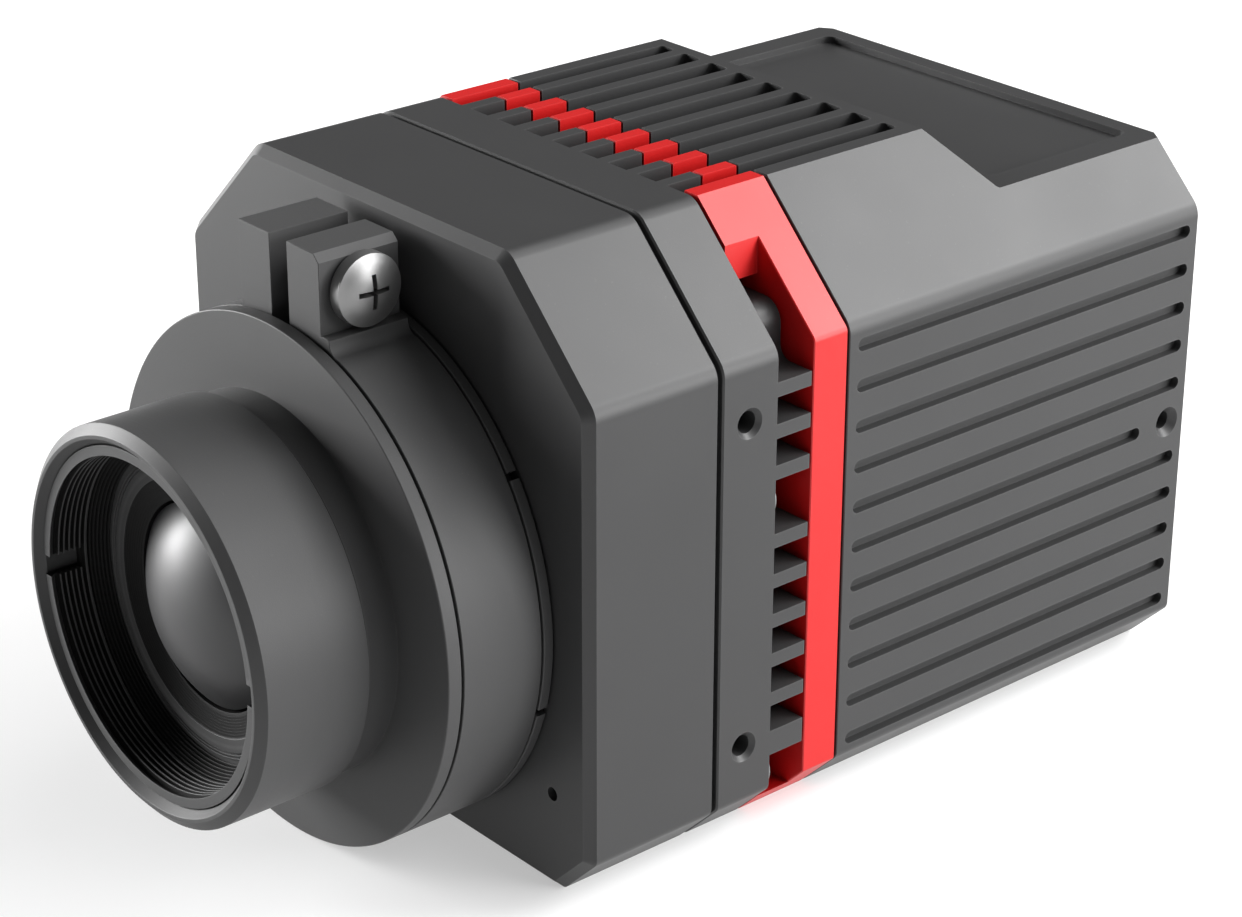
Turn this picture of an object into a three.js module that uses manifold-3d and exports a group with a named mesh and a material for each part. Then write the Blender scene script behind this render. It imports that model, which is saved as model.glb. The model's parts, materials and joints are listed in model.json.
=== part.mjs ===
// Finned, fan-cooled camera head with a clamped focusing lens.
// Millimetres, +Z up. The lens looks along -Y and the connector panel faces +Y.
// Every distance along Y is measured from the flat front face of the front housing.
import * as THREE from 'three'
import { mergeVertices } from 'three/addons/utils/BufferGeometryUtils.js'
import Module from 'manifold-3d'

const wasm = await Module()
wasm.setup()

// ---- Driving dimensions -------------------------------------------------------------------
const CLEARANCE = 0.3
const BODY_WIDTH = 66.6
const BODY_HEIGHT = 66.6
const TOP_CHAMFER = 12.65
const BOTTOM_CHAMFER = 5
const CORNER_RADIUS = 2.6
const FRONT_BEVEL = 1
const WALL = 3
const PITCH = 4.5
const FIN = 1.57
const HALF = BODY_WIDTH / 2

// Stations along Y
const FRONT_WALL = 5
const PARTING_FRONT = 16.45
const PARTING_REAR = 17.05
const PLATE_REAR = 24.45
const FRAME_FRONT = 29.15
const FRAME_REAR = 33.75
const CASING_FRONT = FRAME_REAR + CLEARANCE
const SLOT_REAR = 54.65
const RAMP_TOP = 56.25
const RAMP_FOOT = 61.85
const CASING_REAR = 88.2
const PANEL_FRONT = 85
const PANEL_REAR = 87.6
const BULKHEAD_FRONT = 57
const BULKHEAD_REAR = 60

// Rear casing
const LOW_TOP = 60.4
const VENT_FLOOR = 53.5
const GROOVE_WIDTH = 1.45
const GROOVE_DEPTH = 1
const GROOVE_START = 35.25
const GROOVE_END = 86
const SHORT_GROOVE_END = 79.9
const TOP_GROOVE_Z = 51.65
const GROOVE_COUNT = 11

// Lens, on an axis parallel to Y
const LENS_Z = 28.4
const LENS_SEGMENTS = 40
const FLANGE_RADIUS = 28.3
const SLEEVE_RADIUS = 25.3
const SLEEVE_BORE = 23.6
const BARREL_RADIUS = 20.9
const CELL_RADIUS = 14.3
const RING_RADIUS = 18.65
const RING_BORE = 17.5
const LENS_FRONT = -29.6
const BARREL_REAR = -17
const NECK_FRONT = -16.7
const FLANGE_FRONT = -13.15
const FLANGE_REAR = -11.55
const CLAMP_FRONT = -11.25
const CLAMP_REAR = -1.75
const LOCK_RING_FRONT = -1.45

// Fasteners
const M3 = { shank: 1.5, head: 2.7, height: 1.9, hole: 1.75, tapped: 1.65 }
const M4 = { shank: 1.95, head: 3.75, height: 2.4, hole: 2.2, tapped: 2.15 }
const M2 = { shank: 1.1, head: 2, height: 1.2, hole: 1.4, tapped: 1.3 }
const HOUSING_SCREWS = [[-29.5, 37.1], [29.5, 37.1], [-29.5, 5.9], [29.5, 5.9]]
const PANEL_SCREWS = [[-25.5, 9], [25.5, 9], [-25.5, 50], [25.5, 50]]
const FAN_SCREWS = [[-16, 11], [16, 11], [-16, 43], [16, 43]]
const BOARD_SCREWS = [[-18, 12], [18, 12], [-18, 46], [18, 46]]
const SPANNER_NOTCHES = [35.2, 144.8, 196.3, 343.7]
const CLAMP_SCREW_Z = 60.85

// Fan
const FAN_Z = 27
const FAN_SIZE = 40
const FAN_FRONT = FRAME_REAR + 0.45
const FAN_REAR = FAN_FRONT + 10
const FAN_BORE = 18.3
const BLADE_COUNT = 7

// Connector panel
const SOCKET_REAR = 91.6
const CENTRE_Y = (LENS_FRONT + SOCKET_REAR) / 2

// ---- Materials ----------------------------------------------------------------------------
const finish = (color, roughness, metalness) => ({ color, roughness, metalness })
const ANODISED = finish(0x4c4c4e, 0.5, 0.6)
const LENS_BLACK = finish(0x3c3c3e, 0.45, 0.6)
const RED_ANODISED = finish(0xd02020, 0.4, 0.5)
const BRIGHT_STEEL = finish(0xc9cbcc, 0.28, 0.95)
const DARK_GLASS = finish(0x1d1f22, 0.12, 0.3)
const CLEAR_GLASS = finish(0xcfdad8, 0.08, 0)
const COPPER = finish(0xb87346, 0.35, 0.95)
const CERAMIC = finish(0xe9e7df, 0.6, 0)
const CIRCUIT_GREEN = finish(0x1f5a34, 0.55, 0.1)
const CHIP_BLACK = finish(0x1a1b1d, 0.5, 0)
const RUBBER = finish(0x151515, 0.85, 0)
const PLASTIC = finish(0x202124, 0.55, 0)
const LIGHT_PIPE = finish(0xbfe6c4, 0.3, 0)

// ---- Solids -------------------------------------------------------------------------------
function solid(geometry) {
  const bare = geometry.clone()
  bare.deleteAttribute('normal')
  bare.deleteAttribute('uv')
  const merged = mergeVertices(bare, 1e-4)
  const index = Array.from(merged.index.array)
  const place = merged.attributes.position
  const corners = [new THREE.Vector3(), new THREE.Vector3(), new THREE.Vector3()]
  const kept = []
  let volume = 0
  for (let i = 0; i < index.length; i += 3) {
    const [a, b, c] = index.slice(i, i + 3)
    if (a === b || b === c || a === c) continue
    kept.push(a, b, c)
    const triangle = [a, b, c]
    corners.forEach((corner, k) => corner.fromBufferAttribute(place, triangle[k]))
    volume += corners[0].dot(corners[1].clone().cross(corners[2]))
  }
  const facing = volume > 0 ? kept : kept.reverse()
  return new wasm.Manifold(new wasm.Mesh({
    numProp: 3,
    vertProperties: new Float32Array(place.array),
    triVerts: new Uint32Array(facing),
  }))
}

const join = (first, ...rest) => rest.reduce((body, other) => body.add(other), first)
const cut = (first, ...rest) => rest.reduce((body, other) => body.subtract(other), first)

function box(x0, x1, y0, y1, z0, z1) {
  const block = new THREE.BoxGeometry(x1 - x0, y1 - y0, z1 - z0)
  block.translate((x0 + x1) / 2, (y0 + y1) / 2, (z0 + z1) / 2)
  return solid(block)
}

// A closed profile of [radius, y] points, turned about the line through (x, z) along Y.
function turned(points, x = 0, z = LENS_Z, segments = LENS_SEGMENTS) {
  const profile = [...points, points[0]].map(([radius, y]) => new THREE.Vector2(radius, y))
  return solid(new THREE.LatheGeometry(profile, segments).translate(x, 0, z))
}

const disc = (radius, y0, y1, x = 0, z = LENS_Z, segments = LENS_SEGMENTS) =>
  turned([[0, y0], [radius, y0], [radius, y1], [0, y1]], x, z, segments)

const tube = (outer, inner, y0, y1, x = 0, z = LENS_Z, segments = LENS_SEGMENTS) =>
  turned([[inner, y0], [outer, y0], [outer, y1], [inner, y1]], x, z, segments)

// A cone frustum or cylinder along X.
function alongX(r0, r1, x0, x1, y, z, segments = 20) {
  const bar = new THREE.CylinderGeometry(r1, r0, x1 - x0, segments)
  bar.rotateZ(-Math.PI / 2).translate((x0 + x1) / 2, y, z)
  return solid(bar)
}

// Extrudes a shape drawn in X and Z from y0 to y1.
function prism(shape, y0, y1, curveSegments = 3) {
  const body = new THREE.ExtrudeGeometry(shape, { depth: y1 - y0, bevelEnabled: false, curveSegments })
  return solid(body.rotateX(Math.PI / 2).translate(0, y1, 0))
}

// A polygon whose corners are [x, z, radius].
function roundedShape(corners) {
  const shape = new THREE.Shape()
  corners.forEach(([x, z, radius = 0], i) => {
    const here = new THREE.Vector2(x, z)
    const before = new THREE.Vector2(...corners.at(i - 1).slice(0, 2)).sub(here)
    const after = new THREE.Vector2(...corners[(i + 1) % corners.length].slice(0, 2)).sub(here)
    const half = before.angleTo(after) / 2
    const reach = radius / Math.tan(half)
    const enter = before.setLength(reach || 1e-9).add(here)
    const leave = after.setLength(reach || 1e-9).add(here)
    if (i === 0) shape.moveTo(radius ? enter.x : x, radius ? enter.y : z)
    else shape.lineTo(radius ? enter.x : x, radius ? enter.y : z)
    if (radius) shape.quadraticCurveTo(x, z, leave.x, leave.y)
  })
  return shape
}

// The body's eight-sided section, moved in by inset and cut off flat at top.
function section(inset = 0, top = BODY_HEIGHT - inset, radii = [0, 0]) {
  const side = HALF - inset
  const slope = HALF + BODY_HEIGHT - TOP_CHAMFER - inset * Math.SQRT2
  const shoulder = Math.min(side, slope - top)
  const foot = BOTTOM_CHAMFER - inset * (2 - Math.SQRT2)
  const [topRadius, sideRadius] = radii
  const right = [
    [side - foot, inset, 0],
    [side, inset + foot, sideRadius / 2],
    [side, slope - side, sideRadius],
    [shoulder, top, topRadius],
  ]
  const left = right.map(([x, z, radius]) => [-x, z, radius]).reverse()
  return roundedShape([...right, ...left])
}

// Pan-head screw whose head's underside is at y = 0, with the head toward +Y.
function panScrew({ shank, head, height }, length, segments = 12) {
  const flank = height * 0.55
  const profile = [
    [0, -length], [shank, -length], [shank, 0], [head, 0], [head, flank], [head * 0.62, height], [0, height],
  ]
  const arm = head * 0.46
  const width = head * 0.075
  const depth = height * 0.5
  return cut(
    turned(profile, 0, 0, segments),
    box(-arm, arm, depth, height + 1, -width, width),
    box(-width, width, depth, height + 1, -arm, arm),
  )
}

// ---- Scene helpers ------------------------------------------------------------------------
const group = new THREE.Group()
group.position.y = -CENTRE_Y

function add(name, body, look) {
  const { vertProperties, triVerts } = body.getMesh()
  const geometry = new THREE.BufferGeometry()
  geometry.setAttribute('position', new THREE.BufferAttribute(vertProperties, 3))
  geometry.setIndex(new THREE.BufferAttribute(triVerts, 1))
  geometry.computeVertexNormals()
  const mesh = new THREE.Mesh(geometry, new THREE.MeshStandardMaterial(look))
  mesh.name = name
  group.add(mesh)
  return mesh
}

const mirrored = (make) => [-1, 1].map(make)

// ---- Front housing ------------------------------------------------------------------------
// Octagonal shell that carries the lens; its front edge is bevelled all round.
function frontHousing() {
  const bevelled = new THREE.ExtrudeGeometry(section(0, BODY_HEIGHT, [CORNER_RADIUS, CORNER_RADIUS]), {
    depth: PARTING_REAR,
    bevelThickness: FRONT_BEVEL,
    bevelSize: FRONT_BEVEL,
    bevelOffset: -FRONT_BEVEL,
    bevelSegments: 1,
    curveSegments: 3,
  })
  bevelled.rotateX(Math.PI / 2).translate(0, PARTING_REAR + FRONT_BEVEL, 0)
  let body = cut(
    solid(bevelled),
    box(-HALF - 1, HALF + 1, PARTING_FRONT, PARTING_REAR + 5, -1, BODY_HEIGHT + 1),
    prism(section(4), FRONT_WALL, PARTING_REAR),
    disc(SLEEVE_RADIUS + CLEARANCE, -1, FRONT_WALL + 1),
  )
  const sealSeat = cut(prism(section(0.8), 15.15, PARTING_REAR), prism(section(2), 15, PARTING_REAR + 1))
  body = body.subtract(sealSeat)
  for (const [x, z] of HOUSING_SCREWS) {
    const post = prism(section(2.2), FRONT_WALL - 1, PARTING_FRONT)
      .intersect(disc(4, FRONT_WALL - 1, PARTING_FRONT, x, z, 20))
    body = body.add(post).subtract(disc(M3.tapped, 8, PARTING_REAR, x, z, 16))
  }
  const pinHoles = mirrored((side) => disc(0.75, -1, 1.5, side * 27.6, 11, 12))
  return cut(body, ...pinHoles)
}
add('front_housing', frontHousing(), ANODISED)

// Gasket between the front housing and the heat sink.
const gasket = cut(prism(section(0.95), 15.4, 16.6), prism(section(1.85), 15, 17))
add('housing_seal', gasket, RUBBER)

// ---- Heat sink ----------------------------------------------------------------------------
// Thick plate behind the front housing whose fins stand back towards the red frame.
const FIN_TIP = FRAME_FRONT - CLEARANCE
const UPPER_SIDE_FINS = [49.95, 45.45, 40.95]
const LOWER_SIDE_FINS = [33.4, 28.9, 24.4, 19.9, 15.4]
const FIN_REACH = 19

function heatSink() {
  const outline = section(0, BODY_HEIGHT, [CORNER_RADIUS, CORNER_RADIUS])
  const envelope = prism(outline, PLATE_REAR - 1, FIN_TIP)
  let body = join(prism(outline, PARTING_REAR, PLATE_REAR), prism(section(0.8), PARTING_REAR - 0.3, PLATE_REAR))
  const sideBar = (side, z0, z1) => box(
    Math.min(side * FIN_REACH, side * (HALF + 1)), Math.max(side * FIN_REACH, side * (HALF + 1)),
    PLATE_REAR - 1, FIN_TIP, z0, z1,
  )
  const fins = []
  for (const side of [-1, 1]) {
    for (const z of [...UPPER_SIDE_FINS, ...LOWER_SIDE_FINS]) {
      fins.push(sideBar(side, z - FIN / 2, z + FIN / 2))
    }
    fins.push(sideBar(side, 8.85, 11.65))
    const boss = roundedShape([
      [side * 19, 50, 0], [side * 31, 50, 0], [side * 31, 50.73, 0], [side * 28.7, 50.73, 1.6],
      [side * 28.7, 56.7, 2.4], [side * 19, 56.7, 1],
    ])
    fins.push(prism(boss, PLATE_REAR - 1, FIN_TIP))
  }
  for (let k = 0; k < 4; k += 1) {
    for (const side of [-1, 1]) {
      const x = side * (k + 0.5) * PITCH
      fins.push(box(x - FIN / 2, x + FIN / 2, PLATE_REAR - 1, FIN_TIP, 50, BODY_HEIGHT + 1))
    }
  }
  body = body.add(join(...fins).intersect(envelope))
  for (const [x, z] of HOUSING_SCREWS) {
    body = body.subtract(disc(M3.hole, PARTING_FRONT, PLATE_REAR + 1, x, z, 16))
  }
  for (const side of [-1, 1]) {
    for (const z of [11.15, 47.4]) {
      const bore = side > 0 ? [HALF - 8, HALF + 1] : [-HALF - 1, 8 - HALF]
      const mouth = side > 0
        ? alongX(1.17, 1.67, HALF - 0.46, HALF + 0.04, 20.6, z)
        : alongX(1.67, 1.17, -HALF - 0.04, 0.46 - HALF, 20.6, z)
      body = cut(body, alongX(1.17, 1.17, ...bore, 20.6, z), mouth)
    }
  }
  const coolerSeat = box(-15, 15, PARTING_FRONT, 20.45, LENS_Z - 15, LENS_Z + 15)
  const wirePass = box(-6, 6, PARTING_FRONT, PLATE_REAR + 1, 45.2, 48.2)
  return cut(body, coolerSeat, wirePass)
}
add('heat_sink', heatSink(), ANODISED)

// ---- Vents shared by the red frame and the rear casing --------------------------------------
function ventCutters(y0, y1, endRadius) {
  const slots = []
  for (let k = -3; k <= 3; k += 1) slots.push([k * PITCH - 1.465, k * PITCH + 1.465])
  slots.push([-18.73, -16.53], [16.53, 18.73])
  return slots.map(([x0, x1]) => {
    const slot = new THREE.Shape()
    slot.moveTo(x0, y0)
    slot.lineTo(x1, y0)
    slot.lineTo(x1, y1 - endRadius)
    slot.quadraticCurveTo(x1, y1, x1 - endRadius, y1)
    slot.lineTo(x0 + endRadius, y1)
    slot.quadraticCurveTo(x0, y1, x0, y1 - endRadius)
    const depth = BODY_HEIGHT + 1 - VENT_FLOOR
    const shaft = new THREE.ExtrudeGeometry(slot, { depth, bevelEnabled: false, curveSegments: 2 })
    return solid(shaft.translate(0, 0, VENT_FLOOR))
  })
}

// ---- Red frame ----------------------------------------------------------------------------
// Plate between heat sink and casing, with the fan's air opening and bridges at top and bottom.
function redFrame() {
  const outline = section(0, BODY_HEIGHT, [0, 1])
  let body = prism(outline, FRAME_FRONT, FRAME_REAR)
  const bridgeFront = PLATE_REAR + CLEARANCE
  for (const side of [-1, 1]) {
    const bridge = box(
      Math.min(side * 18.73, side * 24.8), Math.max(side * 18.73, side * 24.8),
      bridgeFront, FRAME_FRONT + 1, 58.5, BODY_HEIGHT + 1,
    )
    body = body.add(bridge.intersect(prism(outline, bridgeFront, FRAME_FRONT + 1)))
  }
  const sill = box(-HALF, HALF, bridgeFront, FRAME_FRONT + 1, -1, 2.8)
  body = body.add(sill.intersect(prism(outline, bridgeFront, FRAME_FRONT + 1)))
  body = cut(body, disc(FAN_BORE - 0.3, FRAME_FRONT - 1, FRAME_REAR + 1, 0, FAN_Z, 32))
  body = cut(body, ...ventCutters(PLATE_REAR, FRAME_REAR + 2, 0.5))
  for (const [x, z] of FAN_SCREWS) {
    body = body.subtract(disc(M3.tapped, FRAME_FRONT + 1, FRAME_REAR + 1, x, z, 16))
  }
  return body
}
add('red_frame', redFrame(), RED_ANODISED)

// ---- Rear casing --------------------------------------------------------------------------
// Vented fan bay in front of a bulkhead, electronics bay behind it, grooved sides.
function rearCasing() {
  const outline = section(0, BODY_HEIGHT, [0, CORNER_RADIUS])
  const aboveRamp = new THREE.Shape()
  aboveRamp.moveTo(-RAMP_TOP, BODY_HEIGHT)
  aboveRamp.lineTo(-RAMP_TOP, BODY_HEIGHT + 2)
  aboveRamp.lineTo(-CASING_REAR - 2, BODY_HEIGHT + 2)
  aboveRamp.lineTo(-CASING_REAR - 2, LOW_TOP)
  aboveRamp.lineTo(-RAMP_FOOT, LOW_TOP)
  const wedge = new THREE.ExtrudeGeometry(aboveRamp, { depth: BODY_WIDTH + 4, bevelEnabled: false })
  wedge.rotateX(Math.PI / 2).rotateZ(-Math.PI / 2).translate(HALF + 2, 0, 0)
  let body = cut(
    prism(outline, CASING_FRONT, CASING_REAR),
    solid(wedge),
    prism(section(WALL, VENT_FLOOR + 1), CASING_FRONT - 1, BULKHEAD_FRONT),
    prism(section(WALL, LOW_TOP - WALL), BULKHEAD_REAR, CASING_REAR + 1),
    ...ventCutters(CASING_FRONT - 2, SLOT_REAR, 0.6),
  )
  const labelSeat = new THREE.Shape()
  labelSeat.moveTo(-23.7, 64)
  labelSeat.lineTo(23.7, 64)
  labelSeat.lineTo(23.7, 84.9)
  labelSeat.quadraticCurveTo(23.7, 85.9, 22.7, 85.9)
  labelSeat.lineTo(-22.7, 85.9)
  labelSeat.quadraticCurveTo(-23.7, 85.9, -23.7, 84.9)
  const seat = new THREE.ExtrudeGeometry(labelSeat, { depth: 2, bevelEnabled: false, curveSegments: 3 })
  body = body.subtract(solid(seat.translate(0, 0, LOW_TOP - 0.8)))
  for (let i = 0; i < GROOVE_COUNT; i += 1) {
    const z = TOP_GROOVE_Z - i * PITCH
    const end = i === 5 ? SHORT_GROOVE_END : GROOVE_END
    body = cut(body, ...mirrored((side) => sideGroove(side, z, end)))
  }
  for (const side of [-1, 1]) {
    const [x0, x1] = side > 0 ? [HALF - 2.6, HALF + 1] : [-HALF - 1, 2.6 - HALF]
    const mouth = side > 0
      ? alongX(1.03, 1.8, HALF - 0.74, HALF + 0.03, 84.5, 29.1)
      : alongX(1.8, 1.03, -HALF - 0.03, 0.74 - HALF, 84.5, 29.1)
    body = cut(body, alongX(1.03, 1.03, x0, x1, 84.5, 29.1, 12), mouth)
  }
  for (const [x, z] of PANEL_SCREWS) {
    const post = disc(3.6, BULKHEAD_REAR - 1, PANEL_FRONT - CLEARANCE, x, z, 16)
    body = body.add(post).subtract(disc(M3.tapped, 76, CASING_REAR, x, z, 12))
  }
  for (const [x, z] of BOARD_SCREWS) {
    body = body.subtract(disc(M2.tapped, BULKHEAD_REAR - 2, BULKHEAD_REAR + 1, x, z, 10))
  }
  const pad = box(-8, 8, 47, BULKHEAD_FRONT + 1, 1, 7.5)
  const insertHole = solid(
    new THREE.CylinderGeometry(4.8, 4.8, 9.5, 20).rotateX(Math.PI / 2).translate(0, 52.2, 2.3),
  )
  const cablePass = box(-6, 6, BULKHEAD_FRONT - 1, BULKHEAD_REAR + 1, 47, 51)
  return cut(body.add(pad), insertHole, cablePass)
}

function sideGroove(side, z, end) {
  const radius = GROOVE_WIDTH / 2
  const stadium = new THREE.Shape()
  stadium.moveTo(GROOVE_START + radius, -radius)
  stadium.lineTo(end - radius, -radius)
  stadium.absarc(end - radius, 0, radius, -Math.PI / 2, Math.PI / 2)
  stadium.lineTo(GROOVE_START + radius, radius)
  stadium.absarc(GROOVE_START + radius, 0, radius, Math.PI / 2, Math.PI * 1.5)
  const groove = new THREE.ExtrudeGeometry(stadium, {
    depth: GROOVE_DEPTH + 1,
    bevelEnabled: false,
    curveSegments: 2,
  })
  groove.rotateX(Math.PI / 2).rotateZ(Math.PI / 2)
  groove.translate(side > 0 ? HALF - GROOVE_DEPTH : -HALF - 1, 0, z)
  return solid(groove)
}
add('rear_casing', rearCasing(), ANODISED)

// Threaded insert for a tripod screw, sunk in the casing's underside.
const insertProfile = [[3.2, 0.2], [4.5, 0.2], [4.5, 6.8], [3.2, 6.8]]
const insertRing = new THREE.LatheGeometry(
  [...insertProfile, insertProfile[0]].map(([radius, height]) => new THREE.Vector2(radius, height)), 20,
)
add('tripod_insert', solid(insertRing.rotateX(Math.PI / 2).translate(0, 52.2, 0)), BRIGHT_STEEL)

// ---- Lens ---------------------------------------------------------------------------------
// Lock ring that screws into the front housing, with spanner notches round its rim.
function lockRing() {
  const profile = [
    [SLEEVE_BORE, CLAMP_FRONT + 0.2], [SLEEVE_RADIUS, CLAMP_FRONT + 0.2], [SLEEVE_RADIUS, LOCK_RING_FRONT],
    [FLANGE_RADIUS, LOCK_RING_FRONT], [FLANGE_RADIUS, -CLEARANCE], [SLEEVE_RADIUS, -CLEARANCE],
    [SLEEVE_RADIUS, FRONT_WALL - 0.4], [SLEEVE_BORE, FRONT_WALL - 0.4],
  ]
  let body = turned(profile)
  for (const angle of SPANNER_NOTCHES) {
    const notch = new THREE.BoxGeometry(4, 4, 1.1)
    notch.translate(FLANGE_RADIUS + 0.6, LOCK_RING_FRONT + 0.7, 0)
    notch.rotateY(-THREE.MathUtils.degToRad(angle)).translate(0, 0, LENS_Z)
    body = body.subtract(solid(notch))
  }
  return body
}
add('lens_lock_ring', lockRing(), LENS_BLACK)

// Split clamp ring with two ears drawn together by the clamp screw.
const EAR_TOP = 65.05
const EAR_SIDE = 6.7
const EAR_Y = (CLAMP_FRONT + CLAMP_REAR) / 2

function clampRing() {
  const ears = roundedShape([
    [-EAR_SIDE, 50, 0], [EAR_SIDE, 50, 0], [EAR_SIDE, EAR_TOP - 0.8, 0], [EAR_SIDE - 0.8, EAR_TOP, 0],
    [-EAR_SIDE, EAR_TOP, 0],
  ])
  const seat = roundedShape([
    [-8.9, 50, 0], [8.9, 50, 0], [8.7, 55.5, 0], [8, 56.9, 0], [-8, 56.9, 0], [-8.7, 55.5, 0],
  ])
  return cut(
    join(
      disc(FLANGE_RADIUS, CLAMP_FRONT, CLAMP_REAR),
      prism(ears, CLAMP_FRONT, CLAMP_REAR),
      prism(seat, CLAMP_FRONT, CLAMP_REAR),
    ),
    disc(SLEEVE_RADIUS + CLEARANCE, CLAMP_FRONT - 1, CLAMP_REAR + 1),
    box(-1.45, 1.45, CLAMP_FRONT - 1, CLAMP_REAR + 1, LENS_Z, EAR_TOP + 1),
    alongX(M4.hole, M4.hole, 1, EAR_SIDE + 1, EAR_Y, CLAMP_SCREW_Z),
    alongX(M4.tapped, M4.tapped, -EAR_SIDE - 1, -1, EAR_Y, CLAMP_SCREW_Z),
  )
}
add('clamp_ring', clampRing(), LENS_BLACK)

const clampScrew = add('clamp_screw', panScrew(M4, 12.4, 20), BRIGHT_STEEL)
clampScrew.rotation.z = -Math.PI / 2
clampScrew.position.set(EAR_SIDE + 0.25, EAR_Y, CLAMP_SCREW_Z)

// Flange: broad rim against the clamp ring, a tail inside the lock ring and a neck for the barrel.
const flangeProfile = [
  [CELL_RADIUS + CLEARANCE, -18.9], [19.1, -18.9], [19.1, NECK_FRONT], [20.3, NECK_FRONT],
  [20.3, FLANGE_FRONT], [FLANGE_RADIUS, FLANGE_FRONT], [FLANGE_RADIUS, FLANGE_REAR],
  [SLEEVE_BORE - CLEARANCE, FLANGE_REAR], [SLEEVE_BORE - CLEARANCE, -1],
  [20, -1], [20, -9], [CELL_RADIUS + CLEARANCE, -9],
]
add('lens_flange', turned(flangeProfile), LENS_BLACK)

// Focusing barrel: turns on the flange's neck; a stepped funnel leads in to the front element.
const barrelProfile = [
  [19.45, LENS_FRONT], [19.75, LENS_FRONT], [BARREL_RADIUS, LENS_FRONT + 0.7], [BARREL_RADIUS, BARREL_REAR],
  [19.4, BARREL_REAR], [19.4, -19.2], [CELL_RADIUS + 0.9, -19.2], [CELL_RADIUS + 0.9, -22.3], [16.1, -22.3],
  [17.5, -24.2], [RING_RADIUS + CLEARANCE, -24.2], [RING_RADIUS + CLEARANCE, LENS_FRONT + 1],
]
add('focus_barrel', turned(barrelProfile), LENS_BLACK)

// Retaining ring in the barrel's mouth, with two spanner slots.
const retainingRing = cut(
  tube(RING_RADIUS, RING_BORE, LENS_FRONT + 0.75, -24.5),
  ...mirrored((side) => box(side * 18 - 1.5, side * 18 + 1.5, LENS_FRONT, -25.1, LENS_Z - 1.1, LENS_Z + 1.1)),
)
add('front_retaining_ring', retainingRing, LENS_BLACK)

// Sliding cell that carries the two lens elements.
const cellProfile = [
  [12.85, -22.6], [CELL_RADIUS, -22.6], [CELL_RADIUS, -3], [11, -3], [11, -4.5], [12.3, -4.5], [12.3, -9.5],
  [10.2, -9.5], [10.2, -15.6], [11.1, -15.6], [11.1, -21.9],
]
add('lens_cell', turned(cellProfile), LENS_BLACK)

// A lens element: a spherical dome towards -Y on a flat-backed disc.
function element(radius, sphere, edgeFront, rear, segments = 32) {
  const centre = edgeFront + Math.sqrt(sphere * sphere - radius * radius)
  const steps = 5
  const points = []
  for (let i = 0; i <= steps; i += 1) {
    const angle = Math.asin(radius / sphere) * i / steps
    points.push([sphere * Math.sin(angle), centre - sphere * Math.cos(angle)])
  }
  return turned([...points, [radius, rear], [0, rear]], 0, LENS_Z, segments)
}
add('front_element', element(10.8, 16.6, -21.6, -15.9), DARK_GLASS)
add('rear_element', element(12, 34, -7.6, -4.8), DARK_GLASS)

// ---- Shutter ------------------------------------------------------------------------------
const SHUTTER_PIVOT_Z = 47.9
const SHUTTER_ARM = SHUTTER_PIVOT_Z - LENS_Z
const SHUTTER_APERTURE = 8
const PARKED = THREE.MathUtils.degToRad(55)

const shutterPlate = cut(
  box(-24, 24, 6.3, 6.95, 8, 55),
  disc(SHUTTER_APERTURE, 6, 7.5, 0, LENS_Z, 28),
  disc(1.3, 6, 7.5, 0, SHUTTER_PIVOT_Z, 12),
)
add('shutter_plate', shutterPlate, ANODISED)

const flagX = SHUTTER_ARM * Math.sin(PARKED)
const flagZ = SHUTTER_PIVOT_Z - SHUTTER_ARM * Math.cos(PARKED)
const armBar = new THREE.BoxGeometry(5, 0.65, SHUTTER_ARM)
armBar.translate(0, 5.675, -SHUTTER_ARM / 2).rotateY(-PARKED).translate(0, 0, SHUTTER_PIVOT_Z)
const shutterBlade = cut(
  join(
    disc(SHUTTER_APERTURE + 0.6, 5.35, 6, flagX, flagZ, 28),
    disc(3.2, 5.35, 6, 0, SHUTTER_PIVOT_Z, 16),
    solid(armBar),
  ),
  disc(1.2, 5, 6.5, 0, SHUTTER_PIVOT_Z, 12),
)
add('shutter_blade', shutterBlade, PLASTIC)

const motorProfile = [
  [0, 5.2], [0.9, 5.2], [0.9, 7.25], [4.4, 7.25], [4.4, 12.5], [0, 12.5],
]
add('shutter_motor', turned(motorProfile, 0, SHUTTER_PIVOT_Z, 20), BRIGHT_STEEL)

// ---- Cooled sensor ------------------------------------------------------------------------
const sensorChamber = cut(
  box(-14.4, 14.4, 7.25, 12.6, LENS_Z - 14.4, LENS_Z + 14.4),
  box(-12.4, 12.4, 9.5, 13, LENS_Z - 12.4, LENS_Z + 12.4),
  disc(8.5, 7, 10, 0, LENS_Z, 28),
  disc(10.8, 7, 8.7, 0, LENS_Z, 28),
)
add('sensor_chamber', sensorChamber, ANODISED)
add('chamber_window', disc(10.5, 7.3, 8.4, 0, LENS_Z, 28), CLEAR_GLASS)
add('image_sensor', box(-9, 9, 10.6, 12.6, LENS_Z - 9, LENS_Z + 9), CHIP_BLACK)
const sensorBoard = cut(
  box(-22, 22, 12.9, 14.4, LENS_Z - 19, LENS_Z + 19),
  box(-8.5, 8.5, 12, 15, LENS_Z - 8.5, LENS_Z + 8.5),
)
add('sensor_board', sensorBoard, CIRCUIT_GREEN)
add('cold_finger', box(-7.5, 7.5, 12.9, 16.95, LENS_Z - 7.5, LENS_Z + 7.5), COPPER)
add('thermoelectric_cooler', box(-12, 12, 17.25, 20.15, LENS_Z - 12, LENS_Z + 12), CERAMIC)

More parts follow.
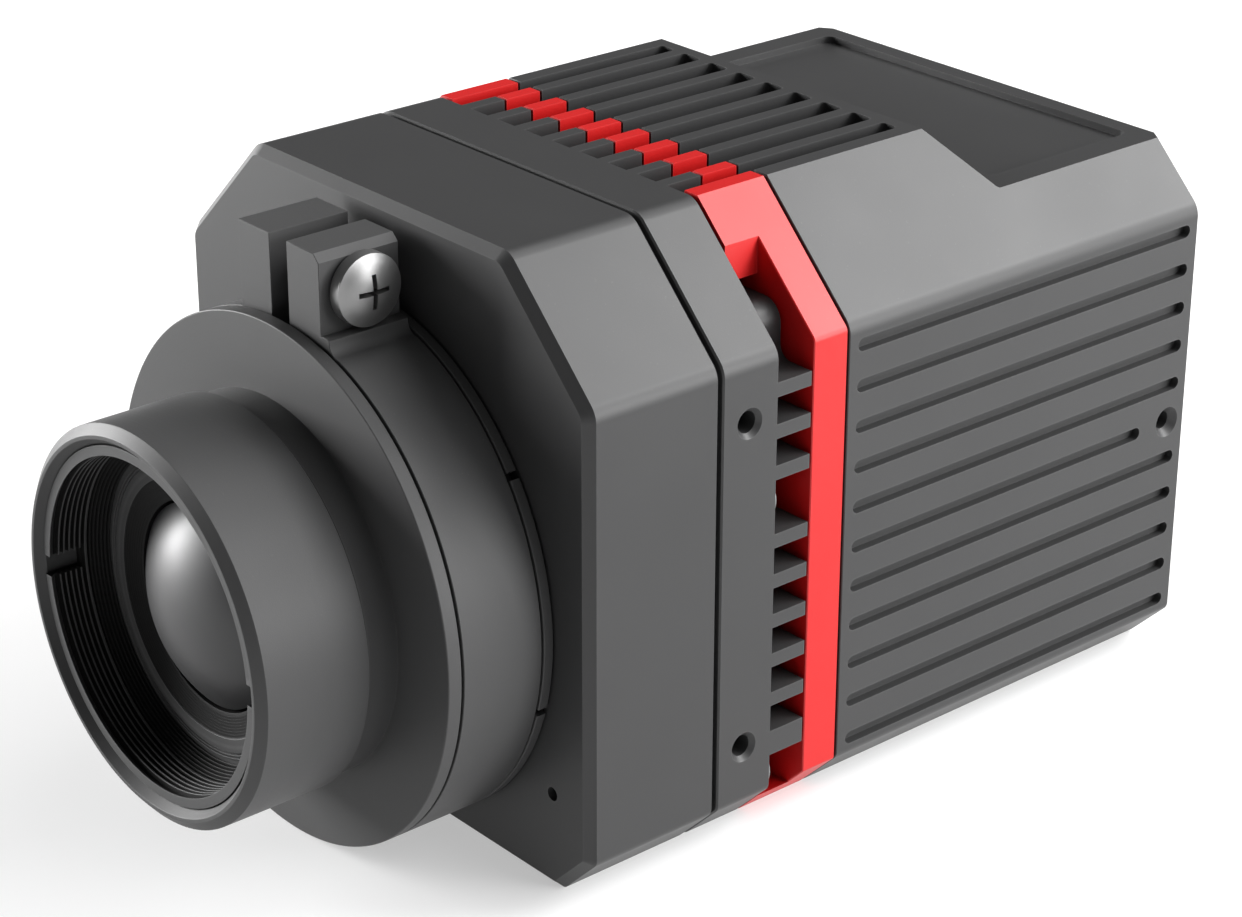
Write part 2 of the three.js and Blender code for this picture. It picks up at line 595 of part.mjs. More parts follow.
// ---- Fan ----------------------------------------------------------------------------------
function fanFrame() {
  const side = FAN_SIZE / 2
  let body = cut(
    box(-side, side, FAN_FRONT, FAN_REAR, FAN_Z - side, FAN_Z + side),
    disc(FAN_BORE, FAN_FRONT - 1, FAN_REAR + 1, 0, FAN_Z, 32),
  )
  const hub = disc(9, FAN_REAR - 1.2, FAN_REAR, 0, FAN_Z, 24)
  const struts = []
  for (let i = 0; i < 3; i += 1) {
    const strut = new THREE.BoxGeometry(13, 1.2, 2.4)
    strut.translate(14, 0, 0).rotateY(i * Math.PI * 2 / 3).translate(0, FAN_REAR - 0.6, FAN_Z)
    struts.push(solid(strut))
  }
  body = join(body, hub, ...struts)
  const holes = FAN_SCREWS.map(([x, z]) => disc(M3.hole, FAN_FRONT - 1, FAN_REAR + 1, x, z, 12))
  return cut(body, ...holes)
}
add('fan_frame', fanFrame(), PLASTIC)

function fanRotor() {
  const hub = disc(9.4, FAN_FRONT + 0.4, FAN_REAR - 1.6, 0, FAN_Z, 24)
  const blades = []
  for (let i = 0; i < BLADE_COUNT; i += 1) {
    const blade = new THREE.BoxGeometry(9, 9, 1.1)
    blade.rotateX(THREE.MathUtils.degToRad(38)).translate(13, FAN_FRONT + 4.6, 0)
    blades.push({ blade, angle: i * Math.PI * 2 / BLADE_COUNT })
  }
  const bounds = disc(17.5, FAN_FRONT + 0.4, FAN_REAR - 1.6, 0, FAN_Z, 40)
  const solids = blades.map(({ blade, angle }) => {
    blade.rotateY(angle).translate(0, 0, FAN_Z)
    return solid(blade).intersect(bounds)
  })
  return join(hub, ...solids)
}
add('fan_rotor', fanRotor(), PLASTIC)

// ---- Electronics --------------------------------------------------------------------------
function board(y, chips) {
  const plate = cut(
    box(-21.5, 21.5, y, y + 1.6, 8, 50),
    ...BOARD_SCREWS.map(([x, z]) => disc(M2.hole, y - 1, y + 2.6, x, z, 10)),
  )
  return join(plate, ...chips.map(([x, z, wide, high, tall]) =>
    box(x - wide / 2, x + wide / 2, y + 1.5, y + 1.6 + tall, z - high / 2, z + high / 2)))
}
add('processor_board', board(64, [[0, 29, 16, 16, 1.8], [-12, 36, 8, 6, 1.2], [12, 20, 7, 9, 1.2]]), CIRCUIT_GREEN)
add('interface_board', board(73, [[9, 30, 9, 9, 1.4], [-11, 22, 8, 8, 2.4], [0, 47.3, 14, 4, 3]]), CIRCUIT_GREEN)

for (const [tier, y0, y1] of [['front', BULKHEAD_REAR + 0.2, 63.8], ['rear', 65.8, 72.8]]) {
  BOARD_SCREWS.forEach(([x, z], i) => {
    add(`${tier}_spacer_${i + 1}`, tube(2.3, M2.tapped, y0, y1, x, z, 8), BRIGHT_STEEL)
  })
}

// ---- Rear panel ---------------------------------------------------------------------------
const DATA_SOCKET = { x: -11, z: 38, wide: 15, high: 13 }
const POWER_SOCKET = { x: 11, z: 38, radius: 6 }
const SYNC_SOCKET = { x: 11, z: 20, radius: 4.5 }
const STATUS_LIGHT = { x: -11, z: 20, radius: 1.6 }

function rearPanel() {
  const { x, z, wide, high } = DATA_SOCKET
  const openings = [POWER_SOCKET, SYNC_SOCKET, STATUS_LIGHT].map((item) =>
    disc(item.radius + CLEARANCE, PANEL_FRONT - 1, PANEL_REAR + 1, item.x, item.z, 24))
  const screwHoles = PANEL_SCREWS.map(([px, pz]) =>
    disc(M3.hole, PANEL_FRONT - 1, PANEL_REAR + 1, px, pz, 12))
  const window = box(
    x - wide / 2 - CLEARANCE, x + wide / 2 + CLEARANCE, PANEL_FRONT - 1, PANEL_REAR + 1,
    z - high / 2 - CLEARANCE, z + high / 2 + CLEARANCE,
  )
  const plate = prism(section(WALL + CLEARANCE, LOW_TOP - WALL - CLEARANCE), PANEL_FRONT, PANEL_REAR)
  return cut(plate, window, ...openings, ...screwHoles)
}
add('rear_panel', rearPanel(), ANODISED)

function dataSocket() {
  const { x, z, wide, high } = DATA_SOCKET
  return cut(
    box(x - wide / 2, x + wide / 2, 77, PANEL_REAR + 0.6, z - high / 2, z + high / 2),
    box(x - wide / 2 + 1, x + wide / 2 - 1, 79, PANEL_REAR + 2, z - high / 2 + 2.6, z + high / 2 - 1),
    box(x - 3, x + 3, 79, PANEL_REAR + 2, z - high / 2 + 1, z + high / 2 - 1),
  )
}
add('data_socket', dataSocket(), BRIGHT_STEEL)

// Round socket: threaded collar outside the panel, insulator with pins inside it.
function roundSocket({ x, z, radius }, rear, pins) {
  const shell = turned([
    [0, 79], [radius, 79], [radius, PANEL_REAR + CLEARANCE], [radius + 1.4, PANEL_REAR + CLEARANCE],
    [radius + 1.4, PANEL_REAR + 1.3], [radius, PANEL_REAR + 1.3], [radius, rear],
    [radius - 1, rear], [radius - 1, rear - 5], [0, rear - 5],
  ], x, z, 20)
  const contacts = []
  for (let i = 0; i < pins; i += 1) {
    const angle = i * Math.PI * 2 / pins
    const reach = radius * 0.45
    contacts.push(disc(0.5, rear - 6, rear - 3, x + reach * Math.cos(angle), z + reach * Math.sin(angle), 6))
  }
  return join(shell, ...contacts)
}
add('power_socket', roundSocket(POWER_SOCKET, SOCKET_REAR, 6), BRIGHT_STEEL)
add('sync_socket', roundSocket(SYNC_SOCKET, SOCKET_REAR - 1, 4), BRIGHT_STEEL)
add('status_light', disc(STATUS_LIGHT.radius, 80, PANEL_REAR + 0.5, STATUS_LIGHT.x, STATUS_LIGHT.z, 16), LIGHT_PIPE)

// ---- Screws -------------------------------------------------------------------------------
function addScrews(prefix, places, underHead, size, length, segments = 12) {
  places.forEach(([x, z], i) => {
    const screw = add(`${prefix}_${i + 1}`, panScrew(size, length, segments), BRIGHT_STEEL)
    screw.position.set(x, underHead, z)
  })
}
addScrews('housing_screw', HOUSING_SCREWS, PLATE_REAR + 0.25, M3, 15)
addScrews('panel_screw', PANEL_SCREWS, PANEL_REAR + 0.25, M3, 9)
addScrews('fan_screw', FAN_SCREWS, FAN_REAR + 0.25, M3, 13, 8)
addScrews('board_screw', BOARD_SCREWS, 74.85, M2, 16, 8)

export default group
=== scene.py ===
"""Cooled camera head with a clamped focusing lens: detailed pieces, finishes and stage."""

import json
import math

import bmesh
import bpy
from bpy.props import FloatProperty, FloatVectorProperty, IntProperty, PointerProperty
from mathutils import Matrix, Vector

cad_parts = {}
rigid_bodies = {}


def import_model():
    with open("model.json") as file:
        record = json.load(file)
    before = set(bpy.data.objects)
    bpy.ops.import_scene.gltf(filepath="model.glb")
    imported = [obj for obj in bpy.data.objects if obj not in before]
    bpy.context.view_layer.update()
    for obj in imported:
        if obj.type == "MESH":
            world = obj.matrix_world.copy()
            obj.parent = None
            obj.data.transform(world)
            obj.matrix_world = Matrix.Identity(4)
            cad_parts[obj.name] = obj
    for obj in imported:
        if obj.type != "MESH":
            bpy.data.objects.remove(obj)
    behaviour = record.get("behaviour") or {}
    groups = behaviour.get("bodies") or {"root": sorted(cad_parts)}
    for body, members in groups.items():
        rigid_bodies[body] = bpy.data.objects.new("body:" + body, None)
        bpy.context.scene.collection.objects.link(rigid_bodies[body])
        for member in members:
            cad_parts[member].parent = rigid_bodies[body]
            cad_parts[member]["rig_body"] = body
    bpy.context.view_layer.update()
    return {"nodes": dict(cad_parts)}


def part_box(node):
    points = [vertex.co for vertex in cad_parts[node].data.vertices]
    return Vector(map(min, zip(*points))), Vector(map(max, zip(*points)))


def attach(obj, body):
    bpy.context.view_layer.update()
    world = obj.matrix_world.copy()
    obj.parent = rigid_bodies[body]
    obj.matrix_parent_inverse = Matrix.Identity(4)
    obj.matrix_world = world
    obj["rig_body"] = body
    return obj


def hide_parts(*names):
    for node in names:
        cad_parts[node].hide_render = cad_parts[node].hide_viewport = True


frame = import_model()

bl_info = {
    "name": "Cooled Camera Head",
    "version": (1, 0, 0),
    "blender": (4, 5, 0),
    "location": "View3D > Sidebar > Camera Head",
    "description": "Builds the housings, lens, screws and electronics of a fan-cooled camera head",
    "category": "Add Mesh",
}

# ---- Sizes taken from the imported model, in millimetres -----------------------------------
# Stations along Y are measured from the flat face of the front housing.
MM = 0.001
FRONT_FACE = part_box("front_housing")[0].y


def low(node, axis):
    """Lowest X, Y station or Z of a node, in millimetres."""
    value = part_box(node)[0][axis]
    return (value - FRONT_FACE if axis == 1 else value) / MM


def high(node, axis):
    """Highest X, Y station or Z of a node, in millimetres."""
    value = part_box(node)[1][axis]
    return (value - FRONT_FACE if axis == 1 else value) / MM


def middle(node, axis):
    """Middle of a node's box along one axis, in millimetres."""
    return (low(node, axis) + high(node, axis)) / 2


X, Y, Z = 0, 1, 2
HALF = high("heat_sink", X)
HEIGHT = high("heat_sink", Z)
TOP_CHAMFER = 12.65
BOTTOM_CHAMFER = 5.0
FILLET = 2.6
WALL = 3.0
PITCH = 4.5
FIN = 1.57
SLOT = PITCH - FIN
GAP = 0.3

PARTING_FRONT = high("front_housing", Y)
SINK_FRONT = low("heat_sink", Y)
FIN_TIP = high("heat_sink", Y)
FRAME_FRONT = FIN_TIP + GAP
FRAME_REAR = high("red_frame", Y)
BRIDGE_FRONT = low("red_frame", Y)
PLATE_REAR = BRIDGE_FRONT - GAP
CASING_FRONT = low("rear_casing", Y)
CASING_REAR = high("rear_casing", Y)
SLOT_REAR = 54.65
RAMP_TOP = 56.25
RAMP_FOOT = 61.85
LOW_TOP = 60.4
VENT_FLOOR = 53.5
BULKHEAD_FRONT = 57.0
BULKHEAD_REAR = 60.0

FACE_WALL = 5.0
HOUSING_WALL = 4.0
SCREW_POST_RADIUS = 4.0
PIN_HOLE_RADIUS, PIN_HOLE_DEPTH = 0.75, 1.5
PIN_HOLE_X, PIN_HOLE_Z = 27.6, 11.0
SEAL_SEAT_FRONT, SEAL_SEAT_OUTER, SEAL_SEAT_INNER = 15.15, 0.8, 2.0
M3_CLEARANCE, M3_PASSAGE = 1.75, 1.65
FIN_ROOT = 19.0
UPPER_FIN_Z, LOWER_FIN_Z = 49.95, 33.4
FOOT_FIN = (8.85, 11.65)
SIDE_HOLE_STATION = 20.6
SIDE_HOLE_HEIGHTS = (11.15, 47.4)
COOLER_POCKET_HALF, COOLER_POCKET_REAR = 15.0, 20.45
WIRE_SLOT_HALF = 6.0
FAN_OPENING = 18.0
END_SLOT_X, END_SLOT_WIDTH = 17.63, 2.2
GROOVES = 11
SHORT_GROOVE = 5
GROOVE_TOP, GROOVE_WIDTH = 51.65, 1.45
GROOVE_START, GROOVE_END, SHORT_GROOVE_END = 35.25, 86.0, 79.9
LABEL_HALF, LABEL_FRONT, LABEL_REAR, LABEL_DEPTH = 23.7, 64.0, 85.9, 0.8
REAR_HOLE = (84.5, 29.1)
SOCKET_FLANGE = 1.4

LENS_Z = middle("focus_barrel", Z)
LENS_FRONT = low("focus_barrel", Y)
BARREL_REAR = high("focus_barrel", Y)
BARREL_RADIUS = high("focus_barrel", X)
FLANGE_RADIUS = high("lens_flange", X)
RING_RADIUS = high("front_retaining_ring", X)
RING_BORE = RING_RADIUS - 1.15
SLEEVE_RADIUS = 25.3
SLEEVE_BORE = 23.6
NECK_RADIUS = 20.3
NECK_BORE = 19.1
DISC_FRONT = -13.15
ELEMENT_SEAT = -24.3
CELL_RADIUS = high("lens_cell", X)
FAN_Z = middle("fan_frame", Z)
SPANNER_NOTCHES = [35.2, 144.8, 196.3, 343.7]
NOTCH_WIDTH = 0.84

HOUSING_SCREWS = [f"housing_screw_{i}" for i in range(1, 5)]
PANEL_SCREWS = [f"panel_screw_{i}" for i in range(1, 5)]
FAN_SCREWS = [f"fan_screw_{i}" for i in range(1, 5)]
BOARD_SCREWS = [f"board_screw_{i}" for i in range(1, 5)]


# ---- Mesh helpers, all in millimetres from the front face --------------------------------
def new_object(name, verts, faces):
    """Object from vertices in millimetres, with its faces turned outward."""
    mesh = bpy.data.meshes.new(name)
    bm = bmesh.new()
    corners = [bm.verts.new((x * MM, y * MM + FRONT_FACE, z * MM)) for x, y, z in verts]
    for face in faces:
        bm.faces.new([corners[i] for i in face])
    bmesh.ops.recalc_face_normals(bm, faces=bm.faces)
    bm.to_mesh(mesh)
    bm.free()
    obj = bpy.data.objects.new(name, mesh)
    bpy.context.scene.collection.objects.link(obj)
    return obj


def turned(profile, centre=(0.0, None), axis=Y, segments=144, name="turned"):
    """Closed (radius, station) profile turned about a line along an axis.

    centre holds the line's other two coordinates, in X, Y, Z order; the lens axis is the default.
    """
    across = [k for k in (X, Y, Z) if k != axis]
    middle_point = (0.0, LENS_Z) if centre[1] is None else centre
    verts, rings = [], []
    for radius, station in profile:
        count = 1 if radius < 1e-6 else segments
        rings.append(list(range(len(verts), len(verts) + count)))
        for k in range(count):
            angle = 2 * math.pi * k / segments
            point = [0.0, 0.0, 0.0]
            point[axis] = station
            point[across[0]] = middle_point[0] + radius * math.cos(angle)
            point[across[1]] = middle_point[1] + radius * math.sin(angle)
            verts.append(point)
    faces = []
    for here, after in zip(rings, rings[1:] + rings[:1]):
        if len(here) == 1 and len(after) == 1:
            continue
        for k in range(segments):
            n = (k + 1) % segments
            if len(here) == 1:
                faces.append((here[0], after[k], after[n]))
            elif len(after) == 1:
                faces.append((here[k], here[n], after[0]))
            else:
                faces.append((here[k], here[n], after[n], after[k]))
    return new_object(name, verts, faces)


def disc(radius, y0, y1, x=0.0, z=None, segments=96):
    """Solid cylinder along Y."""
    centre = (x, LENS_Z if z is None else z)
    return turned([(0, y0), (radius, y0), (radius, y1), (0, y1)], centre, Y, segments)


def bores(nodes, radius, y0, y1, segments):
    """One cylinder along Y for each of a list of nodes, on the node's own axis."""
    return [disc(radius, y0, y1, middle(node, X), middle(node, Z), segments) for node in nodes]


def block(x0, x1, y0, y1, z0, z1):
    """Plain box, used to cut and to build."""
    x0, x1 = sorted((x0, x1))
    verts = [(x, y, z) for x in (x0, x1) for y in (y0, y1) for z in (z0, z1)]
    faces = [(0, 1, 3, 2), (4, 6, 7, 5), (0, 4, 5, 1), (2, 3, 7, 6), (0, 2, 6, 4), (1, 5, 7, 3)]
    return new_object("block", verts, faces)


def rounded(corners, steps=8):
    """Outline of (a, b, radius) corners with each corner turned into an arc."""
    outline = []
    count = len(corners)
    for i, (a, b, radius) in enumerate(corners):
        here = Vector((a, b))
        before = (Vector(corners[i - 1][:2]) - here).normalized()
        after = (Vector(corners[(i + 1) % count][:2]) - here).normalized()
        if radius <= 0:
            outline.append((a, b))
            continue
        half = before.angle(after) / 2
        enter = here + before * (radius / math.tan(half))
        centre = here + (before + after).normalized() * (radius / math.sin(half))
        start = enter - centre
        leave = here + after * (radius / math.tan(half)) - centre
        turn = math.atan2(start.x * leave.y - start.y * leave.x, start.dot(leave))
        for k in range(steps + 1):
            angle = turn * k / steps
            cos, sin = math.cos(angle), math.sin(angle)
            outline.append((centre.x + start.x * cos - start.y * sin,
                            centre.y + start.x * sin + start.y * cos))
    return outline


def drawn_in(outline, distance):
    """Outline moved inward by a distance, corner by corner."""
    area = sum(a[0] * b[1] - b[0] * a[1] for a, b in zip(outline, outline[1:] + outline[:1]))
    side = 1 if area > 0 else -1
    moved = []
    for i, point in enumerate(outline):
        before = Vector(point) - Vector(outline[i - 1])
        after = Vector(outline[(i + 1) % len(outline)]) - Vector(point)
        n1 = Vector((-before.y, before.x)).normalized() * side
        n2 = Vector((-after.y, after.x)).normalized() * side
        mean = n1 + n2
        moved.append(tuple(Vector(point) + mean * (2 * distance / max(mean.length_squared, 1e-9))))
    return moved


def along_x(a, b, depth):
    """Place of an outline point in a prism that runs along X, with the outline in Y and Z."""
    return (depth, a, b)


def along_y(a, b, depth):
    """Place of an outline point in a prism that runs along Y, with the outline in X and Z."""
    return (a, depth, b)


def along_z(a, b, depth):
    """Place of an outline point in a prism that runs along Z, with the outline in X and Y."""
    return (a, b, depth)


def prism(outline, y0, y1, front_edge=0.0, rear_edge=0.0, name="prism", place=along_y):
    """Outline carried from y0 to y1 along its place's axis, with small chamfers round its ends."""
    stages = [(y0, front_edge), (y0 + front_edge, 0), (y1 - rear_edge, 0), (y1, rear_edge)]
    loops, verts = [], []
    for i, (depth, inset) in enumerate(stages):
        if i == 1 and not front_edge or i == 2 and not rear_edge:
            continue
        loop = drawn_in(outline, inset) if inset else outline
        loops.append(list(range(len(verts), len(verts) + len(loop))))
        verts += [place(a, b, depth) for a, b in loop]
    faces = [loops[0], loops[-1]]
    count = len(outline)
    for here, after in zip(loops, loops[1:]):
        faces += [(here[k], here[(k + 1) % count], after[(k + 1) % count], after[k]) for k in range(count)]
    return new_object(name, verts, faces)


def section(inset=0.0, top=None, top_radius=0.0, side_radius=0.0):
    """The body's eight-sided outline, moved in by inset and cut off flat at top."""
    top = HEIGHT - inset if top is None else top
    side = HALF - inset
    slope = HALF + HEIGHT - TOP_CHAMFER - inset * math.sqrt(2)
    shoulder = min(side, slope - top)
    foot = BOTTOM_CHAMFER - inset * (2 - math.sqrt(2))
    right = [
        (side - foot, inset, side_radius * 0.3),
        (side, inset + foot, side_radius * 0.5),
        (side, slope - side, side_radius),
        (shoulder, top, top_radius),
    ]
    return rounded(right + [(-x, z, radius) for x, z, radius in reversed(right)])


def settle(obj):
    """Applies an object's modifiers to its mesh."""
    graph = bpy.context.evaluated_depsgraph_get()
    mesh = bpy.data.meshes.new_from_object(obj.evaluated_get(graph))
    old = obj.data
    obj.modifiers.clear()
    obj.data = mesh
    bpy.data.meshes.remove(old)


def combine(body, others, operation):
    """Boolean of a body with other objects, which are used up."""
    for other in others:
        step = body.modifiers.new("Step", "BOOLEAN")
        step.operation = operation
        step.solver = "MANIFOLD"
        step.object = other
    settle(body)
    for other in others:
        mesh = other.data
        bpy.data.objects.remove(other)
        bpy.data.meshes.remove(mesh)
    return body


def cut(body, *cutters):
    """Body with cutters taken out of it."""
    return combine(body, cutters, "DIFFERENCE")


def join(body, *others):
    """Body made one with others."""
    return combine(body, others, "UNION")


def keep_inside(body, envelope):
    """The part of a body that lies inside an envelope."""
    return combine(body, [envelope], "INTERSECT")


def soften(profile, radius=0.12, steps=3):
    """Profile with its outer corners rounded; inner corners and points on the axis stay sharp."""
    corners = []
    count = len(profile)
    area = sum(a[0] * b[1] - b[0] * a[1] for a, b in zip(profile, profile[1:] + profile[:1]))
    for i, (r, y) in enumerate(profile):
        before = math.dist(profile[i - 1], (r, y))
        after = math.dist(profile[(i + 1) % count], (r, y))
        a = Vector(profile[i - 1]) - Vector((r, y))
        b = Vector(profile[(i + 1) % count]) - Vector((r, y))
        straight = min(before, after) < 1e-6 or a.angle(b) > math.radians(170)
        limit = 0.45 * min(before, after)
        inner = (b.x * a.y - b.y * a.x) * area < 0
        if r < 1e-6 or straight or inner:
            corners.append((r, y, 0))
            continue
        half = a.angle(b) / 2
        corners.append((r, y, min(radius, limit * math.tan(half))))
    return rounded(corners, steps)


def finish_piece(obj, name, material, *nodes, angle=32):
    """Names a piece, smooths it, and ties it to the CAD nodes that it stands for."""
    obj.name = obj.data.name = name
    obj.data.materials.clear()
    obj.data.materials.append(finish(material))
    obj.data.shade_smooth()
    obj.data.set_sharp_from_angle(angle=math.radians(angle))
    shading = obj.modifiers.new("Even Shading", "WEIGHTED_NORMAL")
    shading.keep_sharp = True
    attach(obj, frame["nodes"][nodes[0]]["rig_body"])
    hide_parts(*nodes)
    return obj


def dress_node(node, material):
    """Gives a CAD node its finish."""
    obj = frame["nodes"][node]
    obj.data.materials.clear()
    obj.data.materials.append(finish(material))


# ---- Settings ----------------------------------------------------------------------------
class CameraHeadSizes(bpy.types.PropertyGroup):
    edge_break: FloatProperty(
        name="Edge break", description="Width of the small chamfer along machined edges, in millimetres",
        default=0.18, min=0.0, max=0.6)
    front_bevel: FloatProperty(
        name="Front bevel", description="Width of the bevel round the front housing, in millimetres",
        default=1.0, min=0.2, max=2.0)
    groove_depth: FloatProperty(
        name="Groove depth", description="Depth of the grooves in the casing's sides, in millimetres",
        default=1.0, min=0.3, max=1.6)
    thread_pitch: FloatProperty(
        name="Thread pitch", description="Crest spacing of the rings in the barrel's mouth, in millimetres",
        default=0.67, min=0.4, max=1.0)
    turning_segments: IntProperty(
        name="Turning segments", description="Steps round each turned lens ring",
        default=176, min=48, max=256)


class CameraHeadColours(bpy.types.PropertyGroup):
    body: FloatVectorProperty(
        name="Body", description="Colour of the anodised body", subtype="COLOR", size=3,
        default=(0.03, 0.03, 0.0305), min=0.0, max=1.0)
    lens: FloatVectorProperty(
        name="Lens", description="Colour of the anodised lens rings", subtype="COLOR", size=3,
        default=(0.046, 0.046, 0.0465), min=0.0, max=1.0)
    red: FloatVectorProperty(
        name="Red frame", description="Colour of the anodised red frame", subtype="COLOR", size=3,
        default=(0.41, 0.004, 0.004), min=0.0, max=1.0)
    steel: FloatVectorProperty(
        name="Screws", description="Colour of the stainless screws", subtype="COLOR", size=3,
        default=(0.22, 0.22, 0.22), min=0.0, max=1.0)
    floor: FloatVectorProperty(
        name="Floor", description="Colour of the pale floor", subtype="COLOR", size=3,
        default=(0.5, 0.5, 0.5), min=0.0, max=1.0)


def sizes():
    """The sizes set in the panel."""
    return bpy.context.scene.camera_head_sizes


def colours():
    """The colours set in the panel."""
    return bpy.context.scene.camera_head_colours


# ---- Shared effects ----------------------------------------------------------------------
def new_group(name, inputs, outputs):
    """Empty shader node group with (kind, name, default) inputs and (kind, name) outputs."""
    group = bpy.data.node_groups.new(name, "ShaderNodeTree")
    for kind, label, default in inputs:
        socket = group.interface.new_socket(label, in_out="INPUT", socket_type=f"NodeSocket{kind}")
        socket.default_value = default
    for kind, label in outputs:
        group.interface.new_socket(label, in_out="OUTPUT", socket_type=f"NodeSocket{kind}")
    start = group.nodes.new("NodeGroupInput")
    end = group.nodes.new("NodeGroupOutput")
    return group, start, end


def math_node(tree, operation, a, b=None, clamp=False):
    """Math node whose inputs are sockets or numbers; returns its output."""
    node = tree.nodes.new("ShaderNodeMath")
    node.operation = operation
    node.use_clamp = clamp
    for slot, value in enumerate((a, b)):
        if value is None:
            continue
        if isinstance(value, (int, float)):
            node.inputs[slot].default_value = value
        else:
            tree.links.new(value, node.inputs[slot])
    return node.outputs[0]


def noise_node(tree, scale, detail=3.0, roughness=0.5, vector=None):
    """Noise in object space; scale is a socket or a number. Returns its value."""
    node = tree.nodes.new("ShaderNodeTexNoise")
    node.inputs["Detail"].default_value = detail
    node.inputs["Roughness"].default_value = roughness
    if vector is None:
        vector = tree.nodes.new("ShaderNodeTexCoord").outputs["Object"]
    tree.links.new(vector, node.inputs["Vector"])
    if isinstance(scale, (int, float)):
        node.inputs["Scale"].default_value = scale
    else:
        tree.links.new(scale, node.inputs["Scale"])
    return node.outputs["Fac"]


def edge_highlight_group():
    """Mask of painted edge highlight: bright where the surface turns a corner, broken up by noise."""
    group, start, end = new_group(
        "Painted Edge Highlight", [("Float", "Width", 0.0004), ("Float", "Break Up", 900.0)], [("Float", "Mask")])
    bevel = group.nodes.new("ShaderNodeBevel")
    bevel.samples = 4
    group.links.new(start.outputs["Width"], bevel.inputs["Radius"])
    geometry = group.nodes.new("ShaderNodeNewGeometry")
    dot = group.nodes.new("ShaderNodeVectorMath")
    dot.operation = "DOT_PRODUCT"
    group.links.new(bevel.outputs["Normal"], dot.inputs[0])
    group.links.new(geometry.outputs["Normal"], dot.inputs[1])
    turn = math_node(group, "SUBTRACT", 1.0, dot.outputs["Value"], clamp=True)
    sharp = math_node(group, "MULTIPLY", turn, 5.0, clamp=True)
    patches = noise_node(group, start.outputs["Break Up"], 4.0, 0.65)
    edge_highlight = math_node(group, "MULTIPLY", sharp, patches, clamp=True)
    group.links.new(edge_highlight, end.inputs["Mask"])
    return group


def blasted_grain_group():
    """Fine grain of a bead-blasted, anodised face: a value for colour and a normal."""
    group, start, end = new_group(
        "Blasted Grain",
        [("Float", "Grain Scale", 9000.0), ("Float", "Grain Depth", 0.00002), ("Float", "Cloud Scale", 60.0)],
        [("Float", "Grain"), ("Float", "Cloud"), ("Vector", "Normal")])
    grain = noise_node(group, start.outputs["Grain Scale"], 2.0, 0.6)
    cloud = noise_node(group, start.outputs["Cloud Scale"], 4.0, 0.55)
    bump = group.nodes.new("ShaderNodeBump")
    bump.inputs["Strength"].default_value = 0.35
    group.links.new(start.outputs["Grain Depth"], bump.inputs["Distance"])
    group.links.new(grain, bump.inputs["Height"])
    group.links.new(grain, end.inputs["Grain"])
    group.links.new(cloud, end.inputs["Cloud"])
    group.links.new(bump.outputs["Normal"], end.inputs["Normal"])
    return group


def turning_marks_group():
    """Fine rings left by a lathe about the lens axis, as a value."""
    group, start, end = new_group(
        "Turning Marks", [("Float", "Rings Per Metre", 14000.0)], [("Float", "Rings")])
    place = group.nodes.new("ShaderNodeTexCoord")
    split = group.nodes.new("ShaderNodeSeparateXYZ")
    group.links.new(place.outputs["Object"], split.inputs[0])
    height = math_node(group, "SUBTRACT", split.outputs["Z"], LENS_Z * MM)
    across = math_node(group, "POWER", split.outputs["X"], 2.0)
    up = math_node(group, "POWER", height, 2.0)
    radius = math_node(group, "SQRT", math_node(group, "ADD", across, up))
    joined = group.nodes.new("ShaderNodeCombineXYZ")
    group.links.new(radius, joined.inputs["X"])
    group.links.new(split.outputs["Y"], joined.inputs["Y"])
    rings = noise_node(group, start.outputs["Rings Per Metre"], 1.0, 0.5, joined.outputs[0])
    group.links.new(rings, end.inputs["Rings"])
    return group


def dust_group():
    """Sparse pale specks that settle on faces turned upward."""
    group, start, end = new_group(
        "Settled Dust", [("Float", "Speck Scale", 2600.0), ("Float", "Amount", 0.08)], [("Float", "Mask")])
    specks = noise_node(group, start.outputs["Speck Scale"], 2.0, 0.7)
    picked = math_node(group, "GREATER_THAN", specks, 0.71)
    geometry = group.nodes.new("ShaderNodeNewGeometry")
    split = group.nodes.new("ShaderNodeSeparateXYZ")
    group.links.new(geometry.outputs["Normal"], split.inputs[0])
    upward = math_node(group, "MULTIPLY", split.outputs["Z"], start.outputs["Amount"], clamp=True)
    group.links.new(math_node(group, "MULTIPLY", picked, upward, clamp=True), end.inputs["Mask"])
    return group


GROUP_MAKERS = {
    "Painted Edge Highlight": edge_highlight_group,
    "Blasted Grain": blasted_grain_group,
    "Turning Marks": turning_marks_group,
    "Settled Dust": dust_group,
}


def effect(tree, name, **values):
    """Places a shared effect in a material with its own values."""
    node = tree.nodes.new("ShaderNodeGroup")
    node.node_tree = bpy.data.node_groups.get(name) or GROUP_MAKERS[name]()
    for label, value in values.items():
        node.inputs[label.replace("_", " ")].default_value = value
    return node


# ---- Finishes ----------------------------------------------------------------------------
DUST = (0.25, 0.25, 0.24)


def mixed(tree, factor, a, b):
    """Colour between a and b; each is a colour or a socket. Returns the result socket."""
    node = tree.nodes.new("ShaderNodeMix")
    node.data_type = "RGBA"
    tree.links.new(factor, node.inputs[0])
    for slot, value in ((6, a), (7, b)):
        if isinstance(value, bpy.types.NodeSocket):
            tree.links.new(value, node.inputs[slot])
        else:
            node.inputs[slot].default_value = (*value[:3], 1.0)
    return node.outputs[2]


def spread(tree, value, low_end, high_end):
    """Maps a 0 to 1 value to the range low_end to high_end."""
    node = tree.nodes.new("ShaderNodeMapRange")
    node.inputs["To Min"].default_value = low_end
    node.inputs["To Max"].default_value = high_end
    tree.links.new(value, node.inputs["Value"])
    return node.outputs["Result"]


